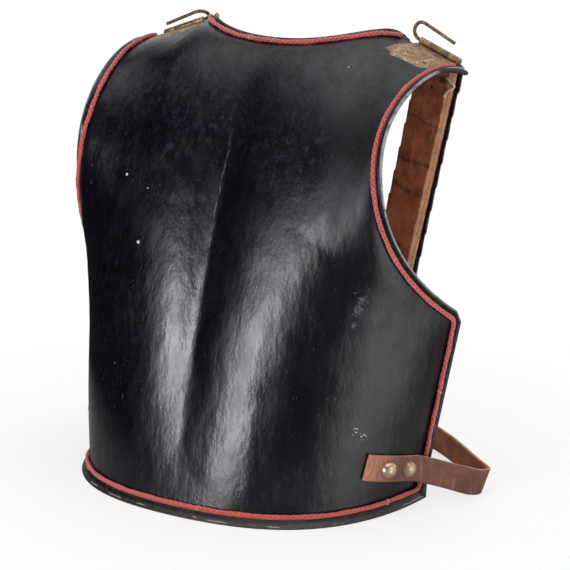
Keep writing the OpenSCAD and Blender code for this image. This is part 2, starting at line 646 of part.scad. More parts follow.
// Punched holes, counted back from the tongue
hole_start = 24 * reach;
tongue_len = 235 * reach;
module punched_holes() for (k = [1:hole_count]) {
    t = 1 - (hole_start + k * hole_pitch) / tongue_len;
    p = bezier(tongue_run, t);
    d = unit(bezier(tongue_run, t + 0.01) - p);
    frame_at(p, d, [0, 0, 1], cross(d, [0, 0, 1])) cylinder(d = hole_d, h = 4 * belt_t, center = true);
}
module right_belt() {
    color(belt_brown) difference() {
        belt_strip(belt_path(tongue_run, 18), on_plate_count + 100, true);
        belt_rivet_bores();
        punched_holes();
    }
}

module at_bar() frame_at(bar_at, buckle_dir, cross([0, 0, 1], buckle_dir), [0, 0, 1]) children();
module left_belt() {
    color(belt_brown) turn_over() difference() {
        belt_strip(concat(buckle_path, fold_path), strip_count, false);
        belt_rivet_bores();
        // This belt starts nearer to its rivets
        on_shell(belt_start_u, belt_v(belt_start_u)) translate([-belt_w, -belt_w, -belt_w])
            cube([belt_w + left_trim, 2 * belt_w, 2 * belt_w]);
        // The slot that the prong turns in
        at_bar() translate([3 - fold_len, -3 * fold_r, -slot_w / 2])
            cube([fold_len - 3 + fold_r + fold_t, 6 * fold_r, slot_w]);
    }
}
module dome_rivet() {
    cap_r = (pow(dome_d / 2, 2) + pow(dome_h, 2)) / (2 * dome_h);
    on_belt = belt_t + 3 * seat;
    translate([0, 0, on_belt]) intersection() {
        translate([0, 0, dome_h - cap_r]) sphere(r = cap_r);
        cylinder(d = dome_d + 1, h = dome_h + 1);
    }
    translate([0, 0, -sheet_t - burr_t - 1.4]) cylinder(d = shank_d,
        h = on_belt + sheet_t + burr_t + 1.6);
}
module belt_rivets() for (k = [0:1])
    on_shell(belt_rivet_u[k], belt_rivet_v[k]) dome_rivet();
module belt_burrs() for (k = [0:1]) on_shell(belt_rivet_u[k], belt_rivet_v[k])
    translate([0, 0, -sheet_t - 2 * seat - burr_t]) difference() {
        cylinder(d = burr_d, h = burr_t);
        translate([0, 0, -1]) cylinder(d = shank_d + 0.1, h = burr_t + 2);
    }

frame_r = 1.7;
prong_reach = buckle_len + 3;
module buckle_frame() {
    color(brass) turn_over() at_bar() {
        half = buckle_in / 2 + frame_r;
        translate([0, 0, -half]) cylinder(d = bar_d, h = 2 * half);
        for (s = [-1, 1]) {
            translate([0, 0, s * half]) rotate([0, 90, 0]) cylinder(r = frame_r, h = buckle_len);
            translate([0, 0, s * half]) sphere(r = frame_r);
            translate([buckle_len, 0, s * half]) sphere(r = frame_r);
        }
        translate([buckle_len, 0, -half]) cylinder(r = frame_r, h = 2 * half);
    }
}
module buckle_prong() {
    ring_r = bar_d / 2 + pin_clear;
    rise = atan2(frame_r + 1.3 + 0.15, buckle_len);
    color(brass) turn_over() at_bar() difference() {
        union() {
            translate([0, 0, -1.8]) cylinder(r = ring_r + 1.3, h = 3.6);
            rotate([0, 0, -rise]) translate([ring_r + 0.3, 0, 0]) rotate([0, 90, 0])
                cylinder(r1 = 1.4, r2 = 1.1, h = prong_reach - ring_r);
        }
        translate([0, 0, -3]) cylinder(r = ring_r, h = 6);
    }
}
// The keeper sits on the belt behind the furthest reach of the prong when it is thrown back
keeper_w = 9;
keeper_drop = (bar_at - bezier(buckle_run, 0.84)) * bar_out;
module belt_keeper() {
    wall = 1.6;
    inner = fold_r + fold_t / 2 + seat;
    color(leather) turn_over() at_bar() translate([-prong_reach - keeper_w, keeper_drop, 0])
        difference() {
            translate([0, -inner - belt_t - 2 * seat - wall, -belt_w / 2 - seat - wall])
                cube([keeper_w, 2 * (inner + wall + seat) + belt_t,
                      belt_w + 2 * seat + 2 * wall]);
            translate([-1, -inner - belt_t - 2 * seat, -belt_w / 2 - seat])
                cube([keeper_w + 2, 2 * inner + belt_t + 2 * seat, belt_w + 2 * seat]);
        }
}

// The left side is the right side turned over
module turn_over() mirror([1, 0, 0]) children();
module right_shoulder_leaf() color(brass) shoulder_leaf();
module left_shoulder_leaf() color(brass) turn_over() shoulder_leaf();
module right_strap_leaf() color(brass) strap_leaf();
module left_strap_leaf() color(brass) turn_over() strap_leaf();
module right_strap_leaf_rivets() color(dark_brass) strap_leaf_rivets();
module left_strap_leaf_rivets() color(dark_brass) turn_over() strap_leaf_rivets();
module right_strap_leather() color(leather) strap_leather();
module left_strap_leather() color(leather) turn_over() strap_leather();
module right_strap_lining() color(leather) strap_lining();
module left_strap_lining() color(leather) turn_over() strap_lining();
module right_strap_scales() color(black) strap_scales();
module left_strap_scales() color(black) turn_over() strap_scales();
module right_scale_rivets() color(dark_brass) scale_rivets();
module left_scale_rivets() color(dark_brass) turn_over() scale_rivets();
module right_strap_end_plate() color(brass) strap_end_plate();
module left_strap_end_plate() color(brass) turn_over() strap_end_plate();
module right_belt_rivets() color(brass) belt_rivets();
module left_belt_rivets() color(brass) turn_over() belt_rivets();
module right_belt_burrs() color(brass) belt_burrs();
module left_belt_burrs() color(brass) turn_over() belt_burrs();
module right_hinge_pin() color(dark_brass) hinge_pin(0);
module left_hinge_pin() color(dark_brass) turn_over() hinge_pin(left_pin_turn);
module shoulder_leaf_rivets() color(dark_brass) {
    leaf_rivet_set();
    turn_over() leaf_rivet_set();
}

back_plate();
waist_lining();
neck_piping();
edge_piping();
right_shoulder_leaf();
left_shoulder_leaf();
shoulder_leaf_rivets();
right_hinge_pin();
left_hinge_pin();
right_strap_leaf();
left_strap_leaf();
right_strap_leaf_rivets();
left_strap_leaf_rivets();
right_strap_leather();
left_strap_leather();
right_strap_lining();
left_strap_lining();
right_strap_scales();
left_strap_scales();
right_scale_rivets();
left_scale_rivets();
right_strap_end_plate();
left_strap_end_plate();
right_belt();
left_belt();
right_belt_rivets();
left_belt_rivets();
right_belt_burrs();
left_belt_burrs();
buckle_frame();
buckle_prong();
belt_keeper();
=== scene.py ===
# Looks of a cuirass back plate: lacquered shell, sewn cord, hinged scale straps and a waist belt.
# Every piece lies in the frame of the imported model, in metres, and rides on one of its bodies.
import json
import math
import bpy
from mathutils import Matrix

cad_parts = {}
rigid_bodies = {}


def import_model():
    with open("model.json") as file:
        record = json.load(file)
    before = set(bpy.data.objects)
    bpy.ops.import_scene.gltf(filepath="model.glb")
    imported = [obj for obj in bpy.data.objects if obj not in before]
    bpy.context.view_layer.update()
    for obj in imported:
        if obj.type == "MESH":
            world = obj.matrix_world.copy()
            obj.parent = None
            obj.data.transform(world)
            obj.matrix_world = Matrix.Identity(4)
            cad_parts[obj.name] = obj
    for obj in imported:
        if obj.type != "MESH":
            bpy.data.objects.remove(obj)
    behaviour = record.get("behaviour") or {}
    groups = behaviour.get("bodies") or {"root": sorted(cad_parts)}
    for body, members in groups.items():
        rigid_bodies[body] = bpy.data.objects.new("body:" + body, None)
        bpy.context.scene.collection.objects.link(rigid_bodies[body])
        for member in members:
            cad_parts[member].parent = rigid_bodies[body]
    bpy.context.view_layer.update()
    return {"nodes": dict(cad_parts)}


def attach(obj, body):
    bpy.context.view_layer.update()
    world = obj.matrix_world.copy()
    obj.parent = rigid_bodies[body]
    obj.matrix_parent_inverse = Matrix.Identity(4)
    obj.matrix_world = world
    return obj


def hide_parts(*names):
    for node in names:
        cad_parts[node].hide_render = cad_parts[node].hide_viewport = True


bl_info = {
    "name": "Cuirass back plate",
    "version": (1, 0, 0),
    "blender": (4, 5, 0),
    "location": "3D View > Sidebar > Back plate",
    "description": "Builds the visual model of a cuirass back plate around its frame",
    "category": "Add Mesh",
}

import bmesh
import bpy
import numpy as np
from bpy.props import FloatProperty, FloatVectorProperty, IntProperty, PointerProperty
from mathutils import Matrix, Vector, noise

for leftover in list(bpy.data.objects):
    bpy.data.objects.remove(leftover)
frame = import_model()

MM = 0.001


# ---------------------------------------------------------------- settings


def length(name, description, default_mm, **limits):
    return FloatProperty(name=name, description=description, default=default_mm * MM, unit="LENGTH", **limits)


def colour(name, description, default):
    return FloatVectorProperty(name=name, description=description, subtype="COLOR", size=4, default=default)


class CuirassPlateSettings(bpy.types.PropertyGroup):
    """Sizes of the iron shell and its cord"""

    sheet: length("Sheet", "Thickness of the iron", 1.6, min=0.0)
    groove_depth: length("Groove depth", "Depth of the spine groove", 9.0)
    groove_width: length("Groove width", "Half width over which the groove fades", 26.0)
    groove_bite: FloatProperty(name="Groove bite", description="2 is a rounded valley, 1 a sharp crease",
                               default=1.45, min=1, max=2)
    flange_width: length("Flange width", "Width of the turned flange", 7.0)
    flange_angle: FloatProperty(name="Flange angle", description="Angle of the flange out of the surface",
                                default=math.radians(42), subtype="ANGLE", unit="ROTATION")
    rim_radius: length("Rim radius", "Radius of the rolled rim", 1.5)
    unevenness: length("Unevenness", "Height of the hammered waves", 0.35)
    cord_diameter: length("Cord", "Diameter of the sewn cord", 4.0)
    columns: IntProperty(name="Columns", description="Cells across the plate", default=132, min=20)
    rows: IntProperty(name="Rows", description="Cells up the plate", default=112, min=20)


class CuirassLeatherSettings(bpy.types.PropertyGroup):
    """Sizes of the straps and the belt"""

    ply: length("Strap ply", "Thickness of one ply of a strap", 2.6)
    strap_width: length("Strap width", "Width of the outer ply", 36.0)
    lining_width: length("Lining width", "Width of the inner ply", 33.0)
    belt_width: length("Belt width", "Width of the waist belt", 22.0)
    belt_thickness: length("Belt thickness", "Thickness of the waist belt", 2.8)


class CuirassColours(bpy.types.PropertyGroup):
    """Colours of the finishes"""

    lacquer: colour("Lacquer", "Black lacquer", (0.0016, 0.0012, 0.0034, 1))
    haze: colour("Haze", "Rubbed, dull lacquer", (0.0065, 0.006, 0.012, 1))
    cord: colour("Cord", "Sewn woollen cord", (0.6, 0.1, 0.082, 1))
    brass: colour("Brass", "Worn brass", (0.32, 0.22, 0.105, 1))
    wire: colour("Wire", "Aged brass wire", (0.26, 0.18, 0.09, 1))
    strap_leather: colour("Strap leather", "Red brown leather", (0.6, 0.165, 0.065, 1))
    belt_leather: colour("Belt leather", "Brown belt leather", (0.168, 0.05, 0.031, 1))
    cut_edge: colour("Cut edge", "Pale cut edge of leather", (0.46, 0.24, 0.12, 1))
    thread: colour("Thread", "Linen thread and thong", (0.62, 0.48, 0.33, 1))


class CuirassStageSettings(bpy.types.PropertyGroup):
    """Light and floor"""

    key: FloatProperty(name="Key", description="Power of the large soft box", default=24.0, unit="POWER")
    floor: colour("Floor", "Colour of the floor", (0.92, 0.92, 0.92, 1))


# ---------------------------------------------------------------- shape of the plate, in millimetres


def corner(x, y, z):
    return np.array((x, 5.2 + y, 8.0 + z))


SPINE_FOOT = corner(0, 0, 0)
LOWER_CORNER = corner(148.8, 135, 0)
UNDER_ARM = corner(173.4, 147.7, 146.2)
OUTER_TIP = corner(148.1, 195.7, 342.1)
INNER_TIP = corner(91.8, 201.2, 362.4)
NAPE = corner(0, 148.2, 356.6)
WAIST_CURVE = (SPINE_FOOT, corner(72.912, 0, 0), corner(141, 22.005, 0), LOWER_CORNER)
SPINE_CURVE = (SPINE_FOOT, corner(0, 12.3, 72), corner(0, 82.2, 354), NAPE)
ARM_CURVE = (UNDER_ARM, corner(128.8, 7, 240.2), corner(133.3, 85.7, 360.5), OUTER_TIP)
NECK_CURVE = (NAPE, corner(56.916, 148.2, 356.6), corner(80.8, 167.3, 371.5), INNER_TIP)
ARMHOLE_START = 0.38
NECK_END = 0.64


def bezier(points, t):
    t = np.asarray(t, float)[..., None]
    a, b, c, d = points
    return (1 - t) ** 3 * a + 3 * (1 - t) ** 2 * t * b + 3 * (1 - t) * t * t * c + t**3 * d


def unit(a):
    a = np.asarray(a, float)
    return a / np.maximum(np.linalg.norm(a, axis=-1, keepdims=True), 1e-12)


def run_of(points):
    """How far along a path each of its points lies"""
    return np.concatenate(([0], np.cumsum(np.linalg.norm(np.diff(points, axis=0), axis=1))))


def read_off(at, run, rows):
    """The rows that belong to other places along a run"""
    return np.stack([np.interp(at, run, column) for column in rows.T], -1)


def facing(axis):
    """A turn that brings Z to the axis"""
    return Vector(axis).to_track_quat("Z", "Y").to_matrix().to_4x4()


def shoulder_edge(u):
    straight = INNER_TIP + (OUTER_TIP - INNER_TIP) * ((u - NECK_END) / (1 - NECK_END))[..., None]
    return np.where((u < NECK_END)[..., None], bezier(NECK_CURVE, np.clip(u / NECK_END, 0, 1)), straight)


def side_edge(v):
    straight = LOWER_CORNER + (UNDER_ARM - LOWER_CORNER) * (v / ARMHOLE_START)[..., None]
    arm = bezier(ARM_CURVE, np.clip((v - ARMHOLE_START) / (1 - ARMHOLE_START), 0, 1))
    return np.where((v < ARMHOLE_START)[..., None], straight, arm)


def surface(u, v):
    """Outer surface: u runs from the left edge, -1, to the right edge, v from waist to shoulder"""
    plate = bpy.context.scene.cuirass_plate
    side, u = np.where(np.asarray(u, float) < 0, -1.0, 1.0), abs(np.asarray(u, float))
    v = np.asarray(v, float)
    b, a = (u * u)[..., None], (v**3)[..., None]
    spread = 0.2 * (1 - u * u) * np.minimum(1, np.minimum(2.5 * v, 2.5 * (1 - v)))
    edge = sum(side_edge(v + spread * k) for k in (-1, -0.5, 0, 0.5, 1)) / 5
    widen = 0.2 * np.minimum(1, 4 * (1 - v)) * np.minimum(1, 3 * u)
    top = sum(shoulder_edge(u + widen * k) for k in np.linspace(-1, 1, 9)) / 9
    p = bezier(SPINE_CURVE, v) * (1 - b) + edge * b
    p = p + (bezier(WAIST_CURVE, u) - SPINE_FOOT * (1 - b) - LOWER_CORNER * b) * (1 - a)
    p = p + (top - NAPE * (1 - b) - OUTER_TIP * b) * a
    rise = np.maximum(0, np.sin(np.radians(176 * v))) ** 1.3
    depth, width = plate.groove_depth / MM, plate.groove_width / MM
    valley = 1 - np.exp(-(np.abs(p[..., 0] / width) ** plate.groove_bite))
    p[..., 1] -= depth * rise * valley * (1 - u**3)
    p[..., 0] *= side
    return p


def steps(u, v, h=0.004):
    du = surface(np.clip(u + h, -1, 1), v) - surface(np.clip(u - h, -1, 1), v)
    dv = surface(u, np.clip(v + h, 0, 1)) - surface(u, np.clip(v - h, 0, 1))
    return du, dv


def outward(u, v):
    return unit(np.cross(*steps(u, v)))


def across_edge(u, v):
    """Direction in the surface, square to the edge and away from the plate"""
    du, dv = (unit(d) for d in steps(u, v))
    n = unit(np.cross(du, dv))
    side = np.where(u < 0, -1.0, 1.0)[..., None]
    to_side = unit(np.cross(dv, n)) * side
    up = unit(np.cross(n, du))
    at_side = (abs(u) > 0.9999)[..., None]
    at_top, at_foot = (v > 0.9999)[..., None], (v < 0.0001)[..., None]
    out = np.where(at_side, to_side, up)
    out = np.where(at_side & at_top, unit(up + to_side), out)
    return np.where(at_foot, -up, out)


def rim_rings(u, v):
    """Points of the flange and its rolled rim over the places (u, v) of the edge, ring by ring"""
    plate = bpy.context.scene.cuirass_plate
    t, r = plate.sheet / MM, plate.rim_radius / MM
    p, n, a = surface(u, v), outward(u, v), across_edge(u, v)
    fade = np.clip((NECK_END + 0.012 - abs(u)) / 0.1, 0, 1)
    shrink = np.where((v > 0.999) & (abs(u) < 0.68), 0.55 + 0.45 * fade * (2 - fade), 1.0)[:, None]
    shrink = shrink * (1 - 0.35 * np.clip((v - 0.95) / 0.05, 0, 1) * (abs(u) > 0.999))[:, None]
    angle = plate.flange_angle
    d = a * math.cos(angle) + n * math.sin(angle)
    m = a * math.sin(angle) - n * math.cos(angle)
    reach = (plate.flange_width / MM - r) * shrink
    bead = p + d * reach + m * r
    flange = [p + a * 0.5 + n * 0.2, p + d * 2.0, p + d * 3.8]
    flange += [bead + (d * math.sin(k) - m * math.cos(k)) * r for k in np.radians((0, 45, 90, 135, 180))]
    flange += [p + d * reach * 0.72 + m * 1.9, p + d * 1.8 + m * t, p - n * t]
    hinge = ((0.3, 0), (0.7, 0), (1.1, 0), (1.35, 0.05), (1.48, 0.2), (1.5, 0.7),
             (1.5, 1.2), (1.4, 1.5), (1.1, t), (0.6, t), (0, t))
    hinge = [p + a * x - n * z for x, z in hinge]
    level = unit(n * (1, 1, 0))
    turn = np.clip((abs(u) - 0.93) / 0.07, 0, 1)[..., None]
    tip = (p + level * 7 + turn * (0, 4.2, 0)) * (1, 1, 0)
    leg = tip - p
    waist = [p + leg * k for k in (0.1, 0.4, 0.7)]
    for back, z in ((0.25, 1.1), (0.0, 0.7), (0.15, 0.25), (0.6, 0.0), (2.8, 0.0), (3.5, 0.35)):
        waist.append(tip - level * back + np.array((0, 0, z)))
    waist += [(tip - level * 3.2 + p - n * t) / 2 + (0, 0, 1.2), p - n * t]
    at_hinge = (v > 0.999) * np.clip((abs(u) - 0.648) / 0.05, 0, 1) * np.clip((0.995 - abs(u)) / 0.05, 0, 1)
    at_waist = np.clip(1 - v / 0.036, 0, 1)
    at_hinge, at_waist = at_hinge[..., None], at_waist[..., None]
    return [(f * (1 - at_hinge) + h * at_hinge) * (1 - at_waist) + w * at_waist
            for f, h, w in zip(flange, hinge, waist)]


# ---------------------------------------------------------------- frames of the hinge and the strap


HINGE_MID = np.array((126.5, 210.2, 361.2))
HINGE_A = unit((0.9335, -0.0875, -0.3476))
HINGE_N = unit(np.cross(HINGE_A, unit((-0.2225, 0, -0.975))))
HINGE_UP = np.cross(HINGE_A, HINGE_N)
STRAP_SKEW = math.radians(-7.6)
STRAP_SHIFT = 3.5
KNUCKLE_R = 2.76
KNUCKLE_BORE = 1.46
KNUCKLE_LENGTH = 11.0
KNUCKLE_STARTS = (-20.5, 9.5)
# Where a shoulder leaf starts, as v, and where its flat part ends and the roll begins, as a share
LEAF_FOOT = 0.914
LEAF_FLAT = 0.84
# The leaf's inner and outer side at the hinge, as u
LEAF_SIDES = (0.708, 0.962)
# Rivets of a shoulder leaf as (u, v), and their two ends as (height, lift, radius)
LEAF_RIVETS = ((0.735, 0.945), (0.9, 0.945), (0.83, 0.975))
RIVET_ENDS = ((0.5, 0.62, 2.2), (0.9, -2.3, 2.5))
# How far the first scale and the others stand off from the pin's line
SCALE_SEAT = (2.3, 1.0)
SIDES = (("right", 1), ("left", -1))


def mirrored(points, side):
    return np.asarray(points, float) * (side, 1, 1)


def hinge_point(x, y, z, side=1):
    x, y, z = (np.asarray(k, float)[..., None] for k in np.broadcast_arrays(x, y, z))
    return mirrored(HINGE_MID + HINGE_A * x + HINGE_N * y + HINGE_UP * z, side)


def strap_point(x, y, z, side=1):
    x, z = np.asarray(x, float), np.asarray(z, float)
    along = x * math.cos(STRAP_SKEW) + z * math.sin(STRAP_SKEW) + STRAP_SHIFT
    down = -x * math.sin(STRAP_SKEW) + z * math.cos(STRAP_SKEW)
    return hinge_point(along, y, down, side)


# ---------------------------------------------------------------- mesh helpers


def empty_mesh():
    bm = bmesh.new()
    bm.loops.layers.uv.new("UVMap")
    return bm


def distinct(items):
    """Each item once, in the order in which they come"""
    return list(dict.fromkeys(items))


def only(kind, geometry):
    """The vertices, edges or faces among what an operator gave back"""
    return [g for g in geometry if isinstance(g, kind)]


def grid(n_s, n_t):
    """A flat grid; its places run from 0 to 1 both ways and are kept in a layer"""
    bm = empty_mesh()
    bmesh.ops.create_grid(bm, x_segments=n_s, y_segments=n_t, size=1)
    place = bm.verts.layers.float_vector.new("place")
    for vert in bm.verts:
        vert[place] = Vector(((vert.co.x + 1) / 2, (vert.co.y + 1) / 2, 0))
    bmesh.ops.recalc_face_normals(bm, faces=bm.faces)
    return bm, place


def places(bm, place):
    return np.array([tuple(vert[place]) for vert in bm.verts])


def put(bm, points_mm):
    for vert, point in zip(bm.verts, np.asarray(points_mm) * MM):
        vert.co = point


def lay_uv(bm, place, scale_s, scale_t):
    """UV in metres along and across the piece"""
    uv = bm.loops.layers.uv.active
    for face in bm.faces:
        for loop in face.loops:
            s, t, _ = loop.vert[place]
            loop[uv].uv = (s * scale_s, t * scale_t)


def piece(name, bm, materials, body, stands_for=(), slot=None, sharp=50, flip=False):
    """Turns a bmesh into a finished object that rides on a body"""
    if flip:
        bmesh.ops.reverse_faces(bm, faces=bm.faces)
    limit = math.radians(sharp)
    for edge in bm.edges:
        edge.smooth = not edge.is_manifold or edge.calc_face_angle(0) < limit
    mesh = bpy.data.meshes.new(name)
    bm.to_mesh(mesh)
    bm.free()
    if "place" in mesh.attributes:
        mesh.attributes.remove(mesh.attributes["place"])
    mesh.polygons.foreach_set("use_smooth", [True] * len(mesh.polygons))
    for material in materials:
        mesh.materials.append(material)
    obj = bpy.data.objects.new(name, mesh)
    bpy.context.scene.collection.objects.link(obj)
    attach(obj, body)
    if stands_for:
        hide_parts(*stands_for)
    return obj


def thicken(obj, thickness, rim=0, back=0):
    """Gives a sheet its thickness on both sides of its middle"""
    solid = obj.modifiers.new("Thickness", "SOLIDIFY")
    solid.thickness, solid.offset = thickness, 0.0
    solid.material_offset_rim, solid.material_offset = rim, back
    solid.use_even_offset = False


def soften(obj, width):
    """Rounds the sharp edges a little"""
    edge = obj.modifiers.new("Soft edge", "BEVEL")
    edge.width, edge.segments, edge.limit_method = width, 2, "ANGLE"
    edge.angle_limit, edge.profile, edge.material = math.radians(50), 0.5, -1
    edge.harden_normals = False


def tube(name, path_mm, radius, sides, material, body, **words):
    """A round cord or wire along a path, with UV in metres"""
    path = np.asarray(path_mm, float)
    run = run_of(path)
    tangent = unit(np.gradient(path, axis=0))
    normal = np.empty_like(path)
    normal[0] = unit(np.cross(tangent[0], (0.3, 0.2, 1.0)))
    for i in range(1, len(path)):
        normal[i] = unit(normal[i - 1] - tangent[i] * normal[i - 1].dot(tangent[i]))
    side = np.cross(tangent, normal)
    bm, place = grid(len(path) - 1, sides)
    spot = places(bm, place)
    index = np.rint(spot[:, 0] * (len(path) - 1)).astype(int)
    angle = spot[:, 1] * 2 * math.pi
    r = (np.broadcast_to(np.asarray(radius, float), len(path)) / MM)[index][:, None]
    ring = normal[index] * np.cos(angle)[:, None] + side[index] * np.sin(angle)[:, None]
    put(bm, path[index] + ring * r)
    for vert, k in zip(bm.verts, index):
        vert[place].x = run[k] / run[-1]
    lay_uv(bm, place, run[-1] * MM, 1)
    bmesh.ops.remove_doubles(bm, verts=bm.verts, dist=1e-7)
    bmesh.ops.holes_fill(bm, edges=[e for e in bm.edges if e.is_boundary], sides=sides)
    bmesh.ops.recalc_face_normals(bm, faces=bm.faces)
    return piece(name, bm, [material], body, **words)


# The way in which the belt's bend leans out at its upper edge
LEAN = np.array((0.9, 0.43, 0.0))


class Ribbon:
    """A flat strip of leather on a smooth path: centre line, side and outward directions"""

    def __init__(self, points, out):
        self.points = np.asarray(points, float)
        self.run = run_of(self.points)
        self.length = self.run[-1]
        tangent = unit(np.gradient(self.points, self.run, axis=0))
        out = np.asarray(out, float)
        kernel = np.ones(9) / 9
        padded = np.pad(out, ((4, 4), (0, 0)), mode="edge")
        out = np.stack([np.convolve(padded[:, k], kernel, "valid") for k in range(3)], -1)
        self.side = unit(np.cross(out, tangent))
        self.out = np.cross(tangent, self.side)
        self.lean = np.zeros(len(self.points))

    def at(self, s, w, lift=0.0):
        middle, side, out = (read_off(s, self.run, rows) for rows in (self.points, self.side, self.out))
        leaning = LEAN * np.interp(s, self.run, self.lean)[..., None]
        return middle + (side + leaning) * np.asarray(w)[..., None] + out * np.asarray(lift)[..., None]


def strip(length, half_width, cells, rows, holes=(), keep=None):
    """A strip in its own plane; its places and its holes are in millimetres along and across it"""
    bm, place = grid(rows, cells)
    for vert in bm.verts:
        s = vert[place].x * length
        vert[place] = Vector((s, (vert[place].y * 2 - 1) * half_width(s), 0))
    bm.verts.ensure_lookup_table()
    for s, w, r in holes:
        near = sorted(bm.verts, key=lambda k: (k[place].x - s) ** 2 + (k[place].y - w) ** 2)[0]
        around = {k for face in near.link_faces for k in face.verts} - {near}
        for k in around:
            angle = math.atan2(k[place].y - near[place].y, k[place].x - near[place].x)
            angle = round(angle / (math.pi / 4)) * math.pi / 4
            k[place] = Vector((s + r * math.cos(angle), w + r * math.sin(angle), 0))
        bmesh.ops.delete(bm, geom=[near], context="VERTS")
    if keep:
        away = [f for f in bm.faces if not keep(sum(v[place].x for v in f.verts) / len(f.verts),
                                                sum(v[place].y for v in f.verts) / len(f.verts))]
        bmesh.ops.delete(bm, geom=away, context="FACES")
    return bm, place


# ---------------------------------------------------------------- material helpers


# Each helper works in the node tree that its first linked value belongs to


def tree_of(*values):
    return next(value.id_data for value in values if isinstance(value, bpy.types.NodeSocket))


def plug(socket, value):
    """Links a value to a socket, or sets it there where it is a plain number or colour"""
    if isinstance(value, bpy.types.NodeSocket):
        socket.id_data.links.new(value, socket)
    else:
        socket.default_value = value


def feed(owner, **values):
    for key, value in values.items():
        plug(owner.inputs[key.replace("_", " ")], value)


def node(tree, kind, settings=None, **values):
    made = tree.nodes.new(kind)
    for key, value in (settings or {}).items():
        setattr(made, key, value)
    feed(made, **values)
    return made


def maths(operation, *values, clamp=False):
    made = node(tree_of(*values), "ShaderNodeMath", {"operation": operation, "use_clamp": clamp})
    for socket, value in zip(made.inputs, values):
        plug(socket, value)
    return made.outputs[0]


def times(a, b):
    return maths("MULTIPLY", a, b)


def plus(a, b, clamp=False):
    return maths("ADD", a, b, clamp=clamp)


def minus(a, b):
    return maths("SUBTRACT", a, b)


def larger(a, b):
    return maths("MAXIMUM", a, b)


def magnitude(a):
    return maths("ABSOLUTE", a)


def apart(a, b):
    """How far two values differ"""
    return magnitude(minus(a, b))


def drift(pattern, span):
    """A pattern from 0 to 1 as a shift to either side, over the whole span"""
    return times(minus(pattern, 0.5), span)


def blend(factor, a, b):
    made = node(tree_of(factor, a, b), "ShaderNodeMix", {"data_type": "RGBA"})
    for index, value in ((0, factor), (6, a), (7, b)):
        plug(made.inputs[index], value)
    return made.outputs[2]


def ramp(value, low, high, to_low=0.0, to_high=1.0):
    return node(tree_of(value), "ShaderNodeMapRange", {"clamp": True}, Value=value, From_Min=low,
                From_Max=high, To_Min=to_low, To_Max=to_high).outputs[0]


def moved(vector, scale=(1, 1, 1), turn=(0, 0, 0), place=(0, 0, 0)):
    return node(tree_of(vector), "ShaderNodeMapping", Vector=vector, Scale=scale, Rotation=turn,
                Location=place).outputs[0]


def cloud(vector, scale, detail=3.0, roughness=0.5, distortion=0.0):
    return node(tree_of(vector), "ShaderNodeTexNoise", Vector=vector, Scale=scale, Detail=detail,
                Roughness=roughness, Distortion=distortion).outputs["Fac"]


def cells(vector, scale, feature="F1"):
    return node(tree_of(vector), "ShaderNodeTexVoronoi", {"feature": feature}, Vector=vector,
                Scale=scale).outputs["Distance"]


def bump(height, strength, distance, normal=None):
    made = node(tree_of(height), "ShaderNodeBump", Height=height, Strength=strength, Distance=distance)
    if normal is not None:
        plug(made.inputs["Normal"], normal)
    return made.outputs[0]


def new_material(name):
    material = bpy.data.materials.new(name)
    material.use_nodes = True
    tree = material.node_tree
    return material, tree, tree.nodes["Principled BSDF"]


def object_place(tree):
    return node(tree, "ShaderNodeTexCoord").outputs["Object"]


def uv_place(tree):
    return node(tree, "ShaderNodeTexCoord").outputs["UV"]


def parts_of(vector):
    return node(tree_of(vector), "ShaderNodeSeparateXYZ", Vector=vector).outputs


def attribute(tree, name):
    return node(tree, "ShaderNodeAttribute", {"attribute_name": name}).outputs["Fac"]


def shade(colour, factors):
    """A colour with its red, green and blue multiplied"""
    return tuple(c * k for c, k in zip(colour, factors)) + (1,)


def colour_of(name, factors=(1, 1, 1)):
    return shade(getattr(bpy.context.scene.cuirass_colours, name), factors)


def top_layer(material):
    """The tree, shader and colour of a material that gets one more layer"""
    shader = material.node_tree.nodes["Principled BSDF"]
    return material.node_tree, shader, shader.inputs["Base Color"].links[0].from_socket


def effect(name, place, values, outputs):
    """A shader node group that turns a place and some plain values into masks and heights"""
    group = bpy.data.node_groups.new(name, "ShaderNodeTree")
    group.interface.new_socket(place, in_out="INPUT", socket_type="NodeSocketVector")
    for label, default in values.items():
        made = group.interface.new_socket(label, in_out="INPUT", socket_type="NodeSocketFloat")
        made.default_value = default
    for label in outputs:
        group.interface.new_socket(label, in_out="OUTPUT", socket_type="NodeSocketFloat")
    return group, group.nodes.new("NodeGroupInput").outputs, group.nodes.new("NodeGroupOutput").inputs


def scratch_effect():
    """Fine scratches in three crossing directions, and small chips"""
    group, given, out = effect("Scratches and chips", "Vector", {"Density": 0.5, "Chips": 0.5},
                               ("Scratches", "Chips"))
    lines = None
    for turn, stretch in (((0.1, 0.05, 0.12), (1, 1, 0.035)), ((0.2, 0.9, 0.3), (1, 1, 0.05)),
                          ((0, 1.5, 0.05), (1, 1, 0.06))):
        streaks = cloud(moved(given["Vector"], stretch, turn), 900, 2, 0.6)
        patches = cloud(moved(given["Vector"], (1, 1, 1), turn), 22, 2, 0.5)
        level = minus(0.735, times(given["Density"], 0.06))
        line = times(ramp(minus(streaks, level), 0, 0.05), ramp(patches, 0.42, 0.62))
        lines = line if lines is None else larger(lines, line)
    plug(out["Scratches"], lines)
    spots = cells(given["Vector"], 260)
    where = cloud(given["Vector"], 9, 3, 0.6)
    size = times(ramp(where, 0.56, 0.75), times(given["Chips"], 0.5))
    plug(out["Chips"], ramp(minus(size, spots), 0.0, 0.04))
    return group


